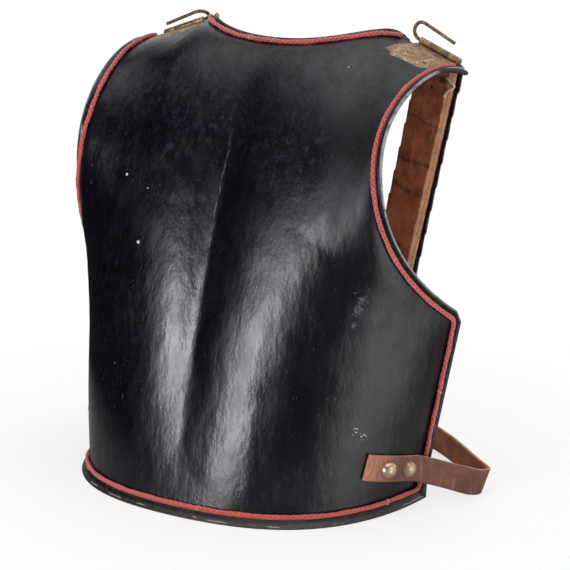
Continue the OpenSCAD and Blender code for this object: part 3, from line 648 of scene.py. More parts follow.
def grain_effect():
    """Leather: pores, pebbles and soft mottling"""
    group, given, out = effect("Leather grain", "Vector", {"Pore scale": 900.0},
                               ("Height", "Mottle", "Streak"))
    pores = cells(given["Vector"], given["Pore scale"], "DISTANCE_TO_EDGE")
    pebbles = cloud(given["Vector"], 420, 4, 0.6)
    plug(out["Height"], plus(ramp(pores, 0.0, 0.25, 0, 0.5), times(pebbles, 0.6)))
    plug(out["Mottle"], cloud(given["Vector"], 55, 5, 0.62, 0.4))
    plug(out["Streak"], cloud(moved(given["Vector"], (1, 1, 0.12)), 240, 4, 0.6))
    return group


def weave_effect():
    """Plaited cord: two sets of slanting strands, from UV in metres along and turns around. Its Shade output
    is the strands' height, which paints shade into the grooves between strands
    """
    group, given, out = effect("Cord weave", "UV", {"Strands per metre": 430.0, "Turns": 3.0},
                               ("Height", "Shade"))
    parts = parts_of(given["UV"])
    along = times(parts[0], given["Strands per metre"])
    around = times(parts[1], given["Turns"])
    waves = []
    for sign in ("ADD", "SUBTRACT"):
        phase = maths(sign, along, around)
        waves.append(magnitude(maths("SINE", times(phase, math.pi))))
    checker = maths("SINE", times(along, math.pi))
    over = ramp(checker, -0.3, 0.3)
    height = plus(times(waves[0], over), times(waves[1], minus(1.0, over)))
    fibres = cloud(moved(given["UV"], (1, 0.004, 1)), 3200, 2, 0.6)
    plug(out["Height"], plus(height, times(fibres, 0.35)))
    plug(out["Shade"], height)
    return group


def tarnish_effect():
    """Old brass: dark patina in patches, rubbed bright spots"""
    group, given, out = effect("Tarnish", "Vector", {"Scale": 90.0}, ("Patina", "Rubbed"))
    big = cloud(given["Vector"], given["Scale"], 6.0, 0.68, 0.6)
    small = cloud(given["Vector"], 620, 4, 0.65)
    plug(out["Patina"], ramp(plus(big, times(small, 0.25)), 0.5, 0.78))
    other = cloud(moved(given["Vector"], (1, 1, 1), (0.4, 0.2, 0.9), (0.3, 0.1, 0.2)), 210, 5, 0.7, 0.8)
    plug(out["Rubbed"], ramp(other, 0.58, 0.7))
    return group


def placed(group, **values):
    return node(tree_of(*values.values()), "ShaderNodeGroup", {"node_tree": group}, **values).outputs


FINISHES = {}


def once(name, make):
    if name not in FINISHES:
        FINISHES[name] = make()
    return FINISHES[name]


def finish_of(name):
    """The finished material of that name, made once"""
    return once(name, lambda: RECIPES[name](name))


def scratches(where, density, chips):
    return placed(once("scratch group", scratch_effect), Vector=where, Density=density, Chips=chips)


# Bare chips and pale scuffs of the lacquer: x, y, z and radius in millimetres
CHIPS = ((-89.6, 69.7, 258.7, 1.0), (-65.5, 65.4, 250.6, 0.85), (-66.2, 51.3, 208.2, 1.2),
         (-78.3, 32.4, 107.4, 0.8))
SCUFFS = ((131.1, 70.8, 174.5, 5.5), (134.0, 73.5, 182.0, 4.5), (128.5, 69.5, 163.0, 2.8),
          (129.5, 72.0, 190.0, 2.4))


def spots(where, places_mm, wander, sharp):
    """A mask that is 1 on ragged spots"""
    ragged = drift(cloud(where, 420, 5, 0.7), wander * MM)
    mask = None
    for x, y, z, size in places_mm:
        far = node(tree_of(where), "ShaderNodeVectorMath", {"operation": "DISTANCE"}, Vector=where)
        far.inputs[1].default_value = (x * MM, y * MM, z * MM)
        spot = ramp(plus(far.outputs["Value"], ragged), size * MM, size * MM * sharp)
        mask = spot if mask is None else larger(mask, spot)
    return mask


def lacquer(name):
    material, tree, shader = new_material(name)
    where = object_place(tree)
    marks = scratches(where, 0.65, 0.06)
    wear = attribute(tree, "wear")
    flakes = cloud(where, 650, 3, 0.6)
    bare = ramp(plus(times(wear, 0.49), flakes), 0.86, 0.89)
    bare = larger(bare, spots(where, CHIPS, 6, 0.8))
    scuffed = times(spots(where, SCUFFS, 16, 0.35), ramp(flakes, 0.42, 0.58, 0.15, 0.9))
    ring = attribute(tree, "rim")
    rubbed = times(ramp(ring, 0.0, 0.06), ramp(cloud(where, 260, 5, 0.7), 0.5, 0.7))
    dull = cloud(where, 14, 5, 0.6, 0.3)
    rub = cloud(moved(where, (1, 1, 0.35)), 70, 5, 0.65)
    grit = cloud(where, 900, 3, 0.7)
    x, _, z = parts_of(where)
    handled = times(ramp(x, -0.03, 0.1), ramp(z, 0.1, 0.32, 0.35, 1))
    shoulder = times(handled, ramp(z, 0.3, 0.36, 0, 0.7))
    colour = blend(ramp(dull, 0.45, 0.8, 0, 0.5), colour_of("lacquer"), colour_of("haze"))
    brushed = cloud(moved(where, (1, 1, 0.4)), 170, 6, 0.75)
    brushed = times(ramp(brushed, 0.5, 0.68), ramp(cloud(where, 11, 3, 0.5), 0.44, 0.6))
    colour = blend(times(brushed, 0.7), colour, (0.024, 0.023, 0.04, 1))
    # A pale grey line along the spine groove, between z 0.1 and 0.31 m: a painted highlight on the ridge of
    # the crease
    offset = drift(cloud(where, 60, 3, 0.6), 0.006)
    valley = magnitude(plus(plus(x, 0.0012), offset))
    crease_highlight = times(ramp(valley, 0.0009, 0.0003), times(ramp(z, 0.1, 0.16), ramp(z, 0.31, 0.26)))
    crease_highlight = times(crease_highlight, ramp(cloud(where, 190, 4, 0.7), 0.44, 0.6, 0.1, 1))
    colour = blend(times(crease_highlight, 0.3), colour, (0.26, 0.26, 0.26, 1))
    colour = blend(times(shoulder, ramp(cloud(where, 60, 6, 0.7), 0.35, 0.65)), colour,
                   (0.03, 0.028, 0.03, 1))
    colour = blend(times(rubbed, 0.55), colour, (0.07, 0.058, 0.048, 1))
    foot = times(ramp(z, 0.014, 0.009), ramp(ring, 0.04, 0.09))
    colour = blend(times(foot, 0.6), colour, (0.036, 0.029, 0.024, 1))
    wander = plus(ring, drift(cloud(where, 80, 4, 0.6), 0.12))
    split = times(foot, ramp(apart(wander, 0.2), 0.03, 0.008))
    # Pale broken marks along the waist flange: painted light showing through slits between the flange edge
    # and the lining
    slit_light = times(foot, ramp(apart(wander, 0.3), 0.026, 0.01))
    slit_light = times(slit_light, ramp(cloud(where, 38, 3, 0.6), 0.5, 0.56))
    colour = blend(times(split, 0.9), colour, (0.003, 0.003, 0.003, 1))
    colour = blend(times(slit_light, 0.8), colour, (0.3, 0.26, 0.21, 1))
    # A pale band on the rolled rim of the armholes and sides: partly lacquer rubbed off the rim, partly a
    # painted highlight along it
    bright = times(ramp(ring, 0.36, 0.46), ramp(ring, 0.68, 0.58))
    bright = times(times(bright, ramp(z, 0.12, 0.2)), ramp(magnitude(x), 0.1, 0.105))
    bright = times(bright, ramp(cloud(where, 120, 4, 0.65), 0.35, 0.55, 0.25, 0.85))
    colour = blend(bright, colour, (0.3, 0.3, 0.32, 1))
    colour = blend(times(marks["Scratches"], 0.42), colour, (0.15, 0.15, 0.16, 1))
    colour = blend(scuffed, colour, (0.085, 0.085, 0.11, 1))
    colour = blend(larger(marks["Chips"], bare), colour, (0.5, 0.47, 0.42, 1))
    rough = plus(ramp(rub, 0.3, 0.75, 0.17, 0.33), times(marks["Scratches"], 0.25))
    rough = plus(rough, times(handled, 0.1))
    under_arm = times(ramp(x, 0.085, 0.115), ramp(z, 0.215, 0.25))
    rough = plus(rough, times(under_arm, 0.17))
    rough = plus(rough, times(larger(rubbed, bare), 0.3), clamp=True)
    waves = bump(cloud(moved(where, (1.3, 1.3, 0.55)), 26, 4, 0.6), 0.5, 0.0022)
    peel = bump(plus(cloud(where, 300, 4, 0.65), times(grit, 0.35)), 0.3, 0.0003, waves)
    dents = plus(plus(marks["Scratches"], times(split, 3.0)), times(plus(bare, rubbed), 1.2))
    feed(shader, Base_Color=colour, Roughness=rough, Normal=bump(dents, -0.3, 0.00012, peel), IOR=1.46)
    return material


def scale_lacquer(name):
    """Duller lacquer, rubbed to the iron along the free edges"""
    material, tree, shader = new_material(name)
    where = object_place(tree)
    marks = scratches(where, 0.6, 0.3)
    wear = attribute(tree, "wear")
    rubbed = ramp(plus(times(wear, 0.45), cloud(where, 260, 4, 0.65)), 0.66, 0.82)
    dirt = ramp(cloud(where, 45, 5, 0.65), 0.4, 0.7)
    colour = blend(dirt, colour_of("lacquer", (2.5, 2.5, 2.5)), (0.022, 0.018, 0.016, 1))
    colour = blend(times(marks["Scratches"], 0.6), colour, (0.1, 0.09, 0.08, 1))
    colour = blend(times(rubbed, 0.85), colour, (0.16, 0.115, 0.08, 1))
    skin = bump(plus(cloud(where, 300, 4, 0.65), rubbed), 0.35, 0.0003)
    feed(shader, Base_Color=colour, Roughness=ramp(larger(rubbed, dirt), 0, 1, 0.27, 0.5), Normal=skin)
    return material


def iron_inside(name):
    material, tree, shader = new_material(name)
    where = object_place(tree)
    marks = scratches(where, 0.4, 0.3)
    stain = cloud(where, 28, 6, 0.65, 0.5)
    colour = blend(ramp(stain, 0.42, 0.7), (0.022, 0.02, 0.019, 1), (0.07, 0.045, 0.03, 1))
    colour = blend(marks["Scratches"], colour, (0.13, 0.11, 0.1, 1))
    skin = bump(cloud(where, 240, 5, 0.65), 0.4, 0.0004)
    feed(shader, Base_Color=colour, Roughness=ramp(stain, 0.3, 0.7, 0.45, 0.7), Normal=skin)
    return material


def cord_wool(name, depth=1.0):
    material, tree, shader = new_material(name)
    uv, where = uv_place(tree), object_place(tree)
    weave = placed(once("weave group", weave_effect), UV=uv)
    dirt = cloud(where, 70, 5, 0.65)
    # A depth below 1 darkens the whole cord colour; the tape uses it as painted shade
    base = colour_of("cord", (depth, depth, depth))
    # Darker, deeper red in the grooves between strands: painted shade
    colour = blend(ramp(weave["Shade"], 0.15, 0.75), shade(base, (0.42, 0.3, 0.34)), base)
    colour = blend(ramp(dirt, 0.52, 0.78, 0, 0.55), colour, (0.2, 0.035, 0.04, 1))
    z = parts_of(where)[2]
    colour = blend(ramp(z, 0.05, 0.015, 0, 0.55), colour, (0.5, 0.05, 0.036, 1))
    feed(shader, Base_Color=colour, Roughness=0.85, Normal=bump(weave["Height"], 0.9, 0.0009),
         Sheen_Weight=0.25, Sheen_Roughness=0.5)
    return material


def thread(name):
    material, tree, shader = new_material(name)
    weave = placed(once("weave group", weave_effect), UV=uv_place(tree), Strands_per_metre=900.0, Turns=2.0)
    # Darker in the grooves between strands: painted shade
    colour = blend(ramp(weave["Shade"], 0.1, 0.8), (0.3, 0.2, 0.13, 1), colour_of("thread"))
    feed(shader, Base_Color=colour, Roughness=0.8, Normal=bump(weave["Height"], 0.6, 0.0003))
    return material


def leather(name, base, dark, light, pore=900.0, polish=0.45, cracks=0.5):
    material, tree, shader = new_material(name)
    where = object_place(tree)
    grain = placed(once("grain group", grain_effect), Vector=where, Pore_scale=pore)
    colour = blend(ramp(grain["Mottle"], 0.3, 0.62), dark, base)
    colour = blend(ramp(grain["Streak"], 0.56, 0.74, 0, 0.6), colour, light)
    creases = maths("POWER", minus(1.0, apart(cloud(moved(where, (1, 1, 2.2)), 48, 4, 0.6), 0.5)), 26.0)
    colour = blend(times(creases, cracks), colour, shade(dark, (0.35, 0.35, 0.35)))
    height = minus(grain["Height"], times(creases, 1.2))
    feed(shader, Base_Color=colour, Roughness=ramp(grain["Mottle"], 0.3, 0.7, polish, polish + 0.25),
         Normal=bump(height, 0.4, 0.0003))
    return material


def strap_hide(name):
    """Red brown leather with painted shade in its folds and rubbed streaks along the strap"""
    base = colour_of("strap_leather")
    material = leather(name, base, shade(base, (0.42, 0.34, 0.36)), (0.78, 0.3, 0.13, 1), 800.0, 0.4, 0.22)
    tree, shader, colour = top_layer(material)
    uv = uv_place(tree)
    along, across, _ = parts_of(uv)
    along = plus(along, times(cloud(uv, 60, 4, 0.6), 0.016))
    # Dark lines across the strap where it folds: painted shade in the creases
    fold_shade = None
    for place, width in ((0.058, 0.002), (0.094, 0.003), (0.119, 0.0045), (0.168, 0.0025), (0.205, 0.0035)):
        fold = ramp(apart(along, place), width, width * 0.2)
        fold_shade = fold if fold_shade is None else larger(fold_shade, fold)
    fold_shade = times(fold_shade, ramp(cloud(uv, 120, 4, 0.6), 0.35, 0.6))
    colour = blend(times(fold_shade, 0.8), colour, (0.06, 0.018, 0.012, 1))
    streaks = ramp(cloud(moved(uv, (0.3, 1, 1)), 130, 5, 0.65), 0.52, 0.7)
    colour = blend(times(streaks, 0.4), colour, (0.75, 0.36, 0.22, 1))
    # A pale band along the strap's edges: rubbed leather, painted brighter to look like a lit cut edge
    border = plus(across, drift(cloud(uv, 90, 4, 0.6), 0.004))
    border = times(ramp(border, 0.0142, 0.0156), ramp(cloud(uv, 420, 3, 0.6), 0.3, 0.5, 0.55, 1))
    colour = blend(border, colour, (0.95, 0.5, 0.31, 1))
    feed(shader, Base_Color=colour)
    return material


def belt_hide(name):
    """Brown leather, paler where it lies riveted on the plate"""
    base = colour_of("belt_leather")
    material = leather(name, base, shade(base, (0.55, 0.5, 0.5)), (0.36, 0.18, 0.12, 1), 1100.0, 0.42, 0.3)
    tree, shader, colour = top_layer(material)
    uv = uv_place(tree)
    along = parts_of(uv)[0]
    along = plus(along, times(cloud(uv, 80, 4, 0.65), 0.02))
    pale = times(ramp(along, 0.045, 0.014),
                 ramp(cloud(moved(uv, (2.5, 0.6, 1)), 160, 4, 0.65), 0.35, 0.65, 0.2, 0.85))
    feed(shader, Base_Color=blend(pale, colour, (0.5, 0.2, 0.12, 1)))
    return material


def flesh_side(name):
    return leather(name, (0.42, 0.125, 0.042, 1), (0.2, 0.055, 0.022, 1), (0.55, 0.22, 0.1, 1), 900.0, 0.6,
                   0.3)


def cut_leather(name):
    base = colour_of("cut_edge")
    return leather(name, base, shade(base, (0.5, 0.42, 0.4)), (0.62, 0.38, 0.22, 1), 1500.0, 0.6)


def lining_hide(name):
    return leather(name, (0.03, 0.021, 0.018, 1), (0.01, 0.008, 0.008, 1), (0.1, 0.07, 0.05, 1), 900.0, 0.5)


def brass(name, base=None, patina=(0.05, 0.035, 0.02, 1), metal=0.9, rough=0.35, scale=90.0):
    base = base or colour_of("brass")
    material, tree, shader = new_material(name)
    where = object_place(tree)
    old = placed(once("tarnish group", tarnish_effect), Vector=where, Scale=scale)
    marks = scratches(where, 0.8, 0.0)
    colour = blend(old["Patina"], base, patina)
    colour = blend(times(old["Rubbed"], 0.7), colour, (0.62, 0.5, 0.32, 1))
    metallic = times(minus(1.0, times(old["Patina"], 0.6)), metal)
    roughness = plus(times(old["Patina"], 0.3), rough)
    height = minus(times(old["Patina"], 0.6), marks["Scratches"])
    feed(shader, Base_Color=colour, Metallic=metallic, Roughness=roughness, Normal=bump(height, 0.3, 0.0002))
    return material


def dome_brass(name):
    return brass(name, (0.68, 0.49, 0.33, 1), (0.31, 0.2, 0.13, 1), 0.95, 0.24, 130.0)


def wire_brass(name):
    return brass(name, colour_of("wire"), (0.035, 0.025, 0.016, 1), 0.95, 0.32, 160.0)


def leaf_brass(name):
    """Brass leaf under lacquer: an attribute says how far the lacquer is worn off"""
    material, tree, shader = new_material(name)
    where = object_place(tree)
    old = placed(once("tarnish group", tarnish_effect), Vector=where, Scale=120.0)
    marks = scratches(where, 0.7, 0.2)
    worn = attribute(tree, "worn")
    ragged = drift(cloud(where, 130, 5, 0.6), 0.7)
    bare = ramp(plus(worn, ragged), 0.56, 0.6)
    base = colour_of("brass", (1.08, 0.88, 0.78))
    metal = blend(times(old["Patina"], 0.8), base, (0.16, 0.09, 0.045, 1))
    swirls = ramp(apart(cloud(where, 75, 4, 0.6, 1.2), 0.5), 0.035, 0.0)
    metal = blend(larger(times(swirls, 0.55), times(old["Rubbed"], 0.7)), metal, (0.74, 0.62, 0.47, 1))
    colour = blend(bare, colour_of("lacquer"), metal)
    height = minus(times(old["Patina"], 0.5), times(bare, 1.5))
    feed(shader, Base_Color=colour, Metallic=times(bare, 0.55), Roughness=ramp(bare, 0, 1, 0.22, 0.5),
         Normal=bump(minus(height, marks["Scratches"]), 0.4, 0.00025))
    return material


RECIPES = {
    "Black lacquer": lacquer,
    "Scale lacquer": scale_lacquer,
    "Iron inside": iron_inside,
    "Red cord": cord_wool,
    # The tape is the piping's selvedge, in a copy of the cord darkened as painted shade
    "Dark tape": lambda name: cord_wool(name, 0.42),
    "Linen thread": thread,
    "Strap leather": strap_hide,
    "Belt leather": belt_hide,
    "Flesh side": flesh_side,
    "Cut leather": cut_leather,
    "Lining leather": lining_hide,
    "Worn brass": brass,
    "Wire brass": wire_brass,
    "Dome brass": dome_brass,
    "Lacquered leaf": leaf_brass,
}


def dress(node_name, finish):
    """Gives a CAD node a finished material"""
    mesh = frame["nodes"][node_name].data
    mesh.materials.clear()
    mesh.materials.append(finish_of(finish))


# ---------------------------------------------------------------- operators


# Places where the lacquer has flaked off, as (u, v, size)
CHIPPED_SPOTS = ((0.695, 0.193, 0.7), (0.725, 0.178, 0.7), (0.712, 0.16, 0.6), (0.723, 0.42, 0.45),
                 (-0.552, 0.595, 0.5),
                 (-0.32, 0.58, 0.45), (-0.22, 0.675, 0.4), (0.488, 0.868, 0.7), (0.478, 0.833, 0.6),
                 (-0.3, 0.91, 0.4))


# Rings of faces from the edge of the sheet round its flange and rim, and the level of the inner side
RIM_RINGS = 11
INSIDE = -1


class CUIRASS_OT_back_plate(bpy.types.Operator):
    """Builds the lacquered shell with its flanges and rolled rims"""

    bl_idname = "cuirass.back_plate"
    bl_label = "Back plate"

    def execute(self, context):
        plate = context.scene.cuirass_plate
        t = plate.sheet / MM
        bm, place = grid(plate.columns, plate.rows)
        shell = list(bm.faces)
        inside = bmesh.ops.duplicate(bm, geom=shell + list(bm.verts) + list(bm.edges))
        inner_faces = only(bmesh.types.BMFace, inside["geom"])
        for vert in only(bmesh.types.BMVert, inside["geom"]):
            vert[place].z = INSIDE
        for face in inner_faces:
            face.material_index = 1
        bmesh.ops.reverse_faces(bm, faces=inner_faces)
        ring = distinct(edge for face in shell for edge in face.edges if edge.is_boundary)
        for k in range(RIM_RINGS):
            grown = bmesh.ops.extrude_edge_only(bm, edges=ring)["geom"]
            ring = [edge for edge in only(bmesh.types.BMEdge, grown) if edge.is_boundary]
            for vert in only(bmesh.types.BMVert, grown):
                vert[place].z = k + 1
        spot = places(bm, place)
        u, v, level = spot[:, 0] * 2 - 1, spot[:, 1], np.rint(spot[:, 2]).astype(int)
        points = surface(u, v)
        normals = outward(u, v)
        points = np.where((level == INSIDE)[:, None], points - normals * t, points)
        edge = level > 0
        points[edge] = np.stack(rim_rings(u[edge], v[edge]))[level[edge] - 1, np.arange(edge.sum())]
        wave = plate.unevenness / MM
        for i in np.nonzero(level < 1)[0]:
            fade = min(1.0, 12 * min(1 - abs(u[i]), v[i], 1 - v[i]))
            if fade > 0:
                q = Vector((points[i] + normals[i] * (t if level[i] < 0 else 0)) * 0.03)
                points[i] += normals[i] * wave * fade * (noise.noise(q) + 0.5 * noise.noise(q * 2.3))
        put(bm, points)
        wear, rim = bm.verts.layers.float.new("wear"), bm.verts.layers.float.new("rim")
        for i, vert in enumerate(bm.verts):
            vert[rim] = max(0.0, level[i] / RIM_RINGS)
            if level[i] == 0:
                vert[wear] = max(math.exp(-(((u[i] - a) / 0.035) ** 2 + ((v[i] - b) / 0.02) ** 2) / size**2)
                                 * size
                                 for a, b, size in CHIPPED_SPOTS)
        bmesh.ops.remove_doubles(bm, verts=bm.verts, dist=2e-6)
        piece("plate_shell", bm, [finish_of("Black lacquer"), finish_of("Iron inside")], "back",
              ("back_plate",), "lacquered_iron", 60)
        for name, side in SIDES:
            self.rim_end(name, side, plate)
        return {"FINISHED"}

    def rim_end(self, name, side, plate):
        """The thick rounded end of the armhole rim, in front of the shoulder hinge"""
        u, v = np.ones(30), np.linspace(0.93, 0.995, 30)
        n, a = outward(u, v), across_edge(u, v)
        angle, r = plate.flange_angle, plate.rim_radius / MM
        d = a * math.cos(angle) + n * math.sin(angle)
        m = a * math.sin(angle) - n * math.cos(angle)
        path = surface(u, v) + d * (plate.flange_width / MM - r) + m * r
        t = np.linspace(0, 1, 30)
        path += (t * t)[:, None] * (2.4, 1.2, -3.9)
        path += (t ** 3)[:, None] * unit(path[-1] - path[-2]) * 3.6
        thick = (r + 1.0 * t) * np.sqrt(1 - np.clip((t - 0.88) / 0.12, 0, 0.97) ** 2)
        tube(name + "_rim_end", mirrored(path, side), thick * MM, 16, finish_of("Black lacquer"), "back",
             slot="lacquered_iron")


def edge_places(spacing=2.2):
    """Places along the cord that follows the sides and the waist, evenly spaced in millimetres"""
    v = np.linspace(0.99, 0, 400)
    left = np.stack([np.full(400, -1.0), v], -1)
    foot = np.stack([np.linspace(-1, 1, 500), np.zeros(500)], -1)
    right = left[::-1] * (-1, 1)
    path = np.concatenate((left, foot[1:-1], right))
    points = surface(path[:, 0], path[:, 1])
    run = run_of(points)
    return read_off(np.linspace(0, run[-1], int(run[-1] / spacing)), run, path)


def beside_edge(spots, lift, inward):
    u, v = spots[:, 0], spots[:, 1]
    return surface(u, v) + outward(u, v) * lift - across_edge(u, v) * inward


# Places (u, v) of the stitches that show
STITCHES = ((-0.083, 1.0), (0.01, 1.0), (0.107, 0.0), (0.86, 0.0), (-0.4, 1.0), (-0.55, 0.0), (1.0, 0.22),
            (-1.0, 0.3))


def smooth_path(path, rounds=2):
    path = path.copy()
    for _ in range(rounds):
        path[1:-1] = path[1:-1] * 0.5 + (path[:-2] + path[2:]) * 0.25
    return path


class CUIRASS_OT_piping(bpy.types.Operator):
    """Sews the red cord along the neck and along sides and waist"""

    bl_idname = "cuirass.piping"
    bl_label = "Cord piping"

    def execute(self, context):
        r = context.scene.cuirass_plate.cord_diameter / MM / 2
        wool = finish_of("Red cord")
        around = edge_places()
        u = np.linspace(-NECK_END + 0.01, NECK_END - 0.01, 96)
        neck = np.stack([u, np.ones_like(u)], -1)
        for name, spots, stands in (("edge_cord", around, "edge_piping"), ("neck_cord", neck, "neck_piping")):
            path = smooth_path(beside_edge(spots, r + 0.2, r * 0.38 + 0.2), 3)
            s = np.arange(len(path))
            sway = 0.22 * np.sin(s * 0.31) + 0.15 * np.sin(s * 0.83)
            path += outward(spots[:, 0], spots[:, 1]) * sway[:, None]
            thick = r * MM * (0.92 + 0.07 * np.sin(s * 0.47) + 0.04 * np.sin(s * 1.9))
            tube(name, path, thick, 12, wool, "back", stands_for=(stands,), slot="red_cord")
            # A narrow tape beside the cord, in the darkened copy of the cord: painted shade between cord and
            # flange
            tape = smooth_path(beside_edge(spots, 1.0, -1.3), 3)
            tube(name + "_tape", tape, 0.75 * MM, 6, finish_of("Dark tape"), "back", slot="red_cord")
        for k, (u, v) in enumerate(STITCHES):
            self.stitch(k, np.array([u]), np.array([v]), r)
        return {"FINISHED"}

    def stitch(self, k, u, v, r):
        """A pale thread that goes over the cord"""
        middle = beside_edge(np.stack([u, v], -1), r + 0.2, r * 0.38 + 0.2)
        turn = np.radians(np.linspace(-25, 205, 18))[:, None]
        n, a = outward(u, v), across_edge(u, v)
        lean = unit(np.cross(n, a))
        path = middle + (n * np.sin(turn) - a * np.cos(turn)) * (r + 0.15) + lean * np.cos(turn) * 0.9
        tube("stitch_%d" % k, path, 0.32 * MM, 6, finish_of("Linen thread"), "back")


class CUIRASS_OT_waist_lining(bpy.types.Operator):
    """Puts the sewn leather strip inside the waist"""

    bl_idname = "cuirass.waist_lining"
    bl_label = "Waist lining"

    def execute(self, context):
        bm, place = grid(160, 14)
        spot = places(bm, place)
        u, k = (spot[:, 0] * 2 - 1) * 0.985, spot[:, 1]
        v = np.clip((k - 0.3) / 0.7, 0, 1) * 0.052
        p = surface(u, v) - outward(u, v) * 3.0
        foot = surface(u, np.zeros_like(u))
        level = unit(outward(u, np.zeros_like(u)) * (1, 1, 0))
        low = foot * (1, 1, 0) + level * 1.4 + np.array((0, 0, 0.9))
        share = np.clip(k / 0.3, 0, 1)[:, None]
        put(bm, np.where((k < 0.3)[:, None], low * (1 - share) + p * share, p))
        obj = piece("lining_strip", bm, [finish_of("Lining leather"), finish_of("Cut leather")], "back",
                    ("waist_lining",), "lining_leather")
        thicken(obj, 1.3 * MM)
        soften(obj, 0.3 * MM)
        return {"FINISHED"}


class CUIRASS_OT_shoulder_hinges(bpy.types.Operator):
    """Makes the brass leaves on the shoulders and finishes pins and rivets"""

    bl_idname = "cuirass.shoulder_hinges"
    bl_label = "Shoulder hinges"

    def execute(self, context):
        for name, side in SIDES:
            self.leaf(name, side)
        dress("right_hinge_pin", "Wire brass")
        dress("left_hinge_pin", "Wire brass")
        self.flush_rivets()
        for name in ("right", "left"):
            dress(name + "_strap_leaf", "Worn brass")
            dress(name + "_strap_leaf_rivets", "Worn brass")
        return {"FINISHED"}

    def leaf(self, name, side):
        bm, place = grid(44, 40)
        spot = places(bm, place)
        i, j = spot[:, 0], spot[:, 1]
        v = LEAF_FOOT + np.clip(j / LEAF_FLAT, 0, 1) * 0.086
        inner = LEAF_SIDES[0] - (1 - v) * 1.25
        u = inner + (LEAF_SIDES[1] - inner) * i
        border = np.minimum.reduce([i * 7, (1 - i) * 9, j * 6, np.ones_like(i)])
        on_plate = surface(u, v) + outward(u, v) * (0.75 * border - 0.2)[:, None]
        front = hinge_point(-20.2 + 40.4 * i, -0.4, -KNUCKLE_R + 0.35)
        share = np.clip((j - LEAF_FLAT) / 0.16, 0, 1)[:, None]
        put(bm, mirrored(on_plate * (1 - share) + front * share, side))
        worn = bm.verts.layers.float.new("worn")
        for vert in bm.verts:
            s, t = vert[place].x, vert[place].y
            vert[worn] = min(1.0, 0.72 + s * 4, 0.66 + t * 4, 0.55 + (s / 0.3 + t / 0.2 - 1) * 0.25,
                             0.5 + ((1 - s) / 0.2 + t / 0.2 - 1) * 0.25)
        top = list(bm.faces)
        under = bmesh.ops.duplicate(bm, geom=top + list(bm.edges) + list(bm.verts))["geom"]
        sink = outward(u, v) * -0.7
        for vert, step in zip(only(bmesh.types.BMVert, under), sink):
            vert.co += Vector(mirrored(step, side)) * MM
        bmesh.ops.reverse_faces(bm, faces=only(bmesh.types.BMFace, under))
        bmesh.ops.bridge_loops(bm, edges=[e for e in bm.edges if e.is_boundary])
        for start in KNUCKLE_STARTS:
            self.knuckle(bm, worn, start, side)
        bmesh.ops.recalc_face_normals(bm, faces=bm.faces)
        obj = piece(name + "_leaf_plate", bm, [finish_of("Lacquered leaf")], "back",
                    (name + "_shoulder_leaf",), "worn_brass", 40)
        soften(obj, 0.2 * MM)

    def flush_rivets(self):
        """Rivets hammered nearly flush with the leaves"""
        bm = empty_mesh()
        for side in (1, -1):
            for u, v in LEAF_RIVETS:
                for height, lift, r in RIVET_ENDS:
                    p, n = surface(u, v)[None], outward(np.array([u]), np.array([v]))
                    low, axis = (p + n * lift)[0] * (side, 1, 1), n[0] * (side, 1, 1)
                    middle = Vector((low + axis * height / 2) * MM)
                    bmesh.ops.create_cone(bm, cap_ends=True, segments=20, radius1=r * MM,
                                          radius2=r * 0.7 * MM,
                                          depth=height * MM, matrix=Matrix.Translation(middle) @ facing(axis))
        piece("leaf_rivet_heads", bm, [finish_of("Worn brass")], "back", ("shoulder_leaf_rivets",),
              "aged_brass", 30)

    def knuckle(self, bm, worn, start, side):
        """A rolled knuckle: a ring drawn out along the pin"""
        made = bmesh.ops.create_circle(bm, segments=32, radius=KNUCKLE_R, cap_ends=False)["verts"]
        outer = distinct(edge for vert in made for edge in vert.link_edges)
        inner = bmesh.ops.extrude_edge_only(bm, edges=outer)["geom"]
        for vert in only(bmesh.types.BMVert, inner):
            vert.co *= KNUCKLE_BORE / KNUCKLE_R
        ring = only(bmesh.types.BMFace, inner)
        grown = bmesh.ops.extrude_face_region(bm, geom=ring, use_keep_orig=True)["geom"]
        for vert in only(bmesh.types.BMVert, grown):
            vert.co.z = KNUCKLE_LENGTH
        for vert in distinct(v for face in only(bmesh.types.BMFace, grown + ring) for v in face.verts):
            vert.co = Vector(hinge_point(start + vert.co.z, vert.co.x, vert.co.y, side) * MM)
            vert[worn] = 1.0


# A strap's length, its upper end and its stud hole along it, and its holes as (along, across, radius)
STRAP_LENGTH = 268.0
STRAP_TOP = -10.0
STUD_AT = -254.0
STRAP_HOLES = ((19.0, 0.0, 1.7), (165.0, 8.0, 1.2))
# Points of the thong that holds the first scale at the strap's upper corner
THONG = np.array(((12, -6.4, -17), (15.5, -6.9, -19), (18.8, -6.2, -20.5), (19.3, -3.4, -22.5),
                  (18.8, -6.4, -24.5), (16.5, -7.4, -26), (14.2, -6.9, -29.5), (13, -6.3, -33)), float)


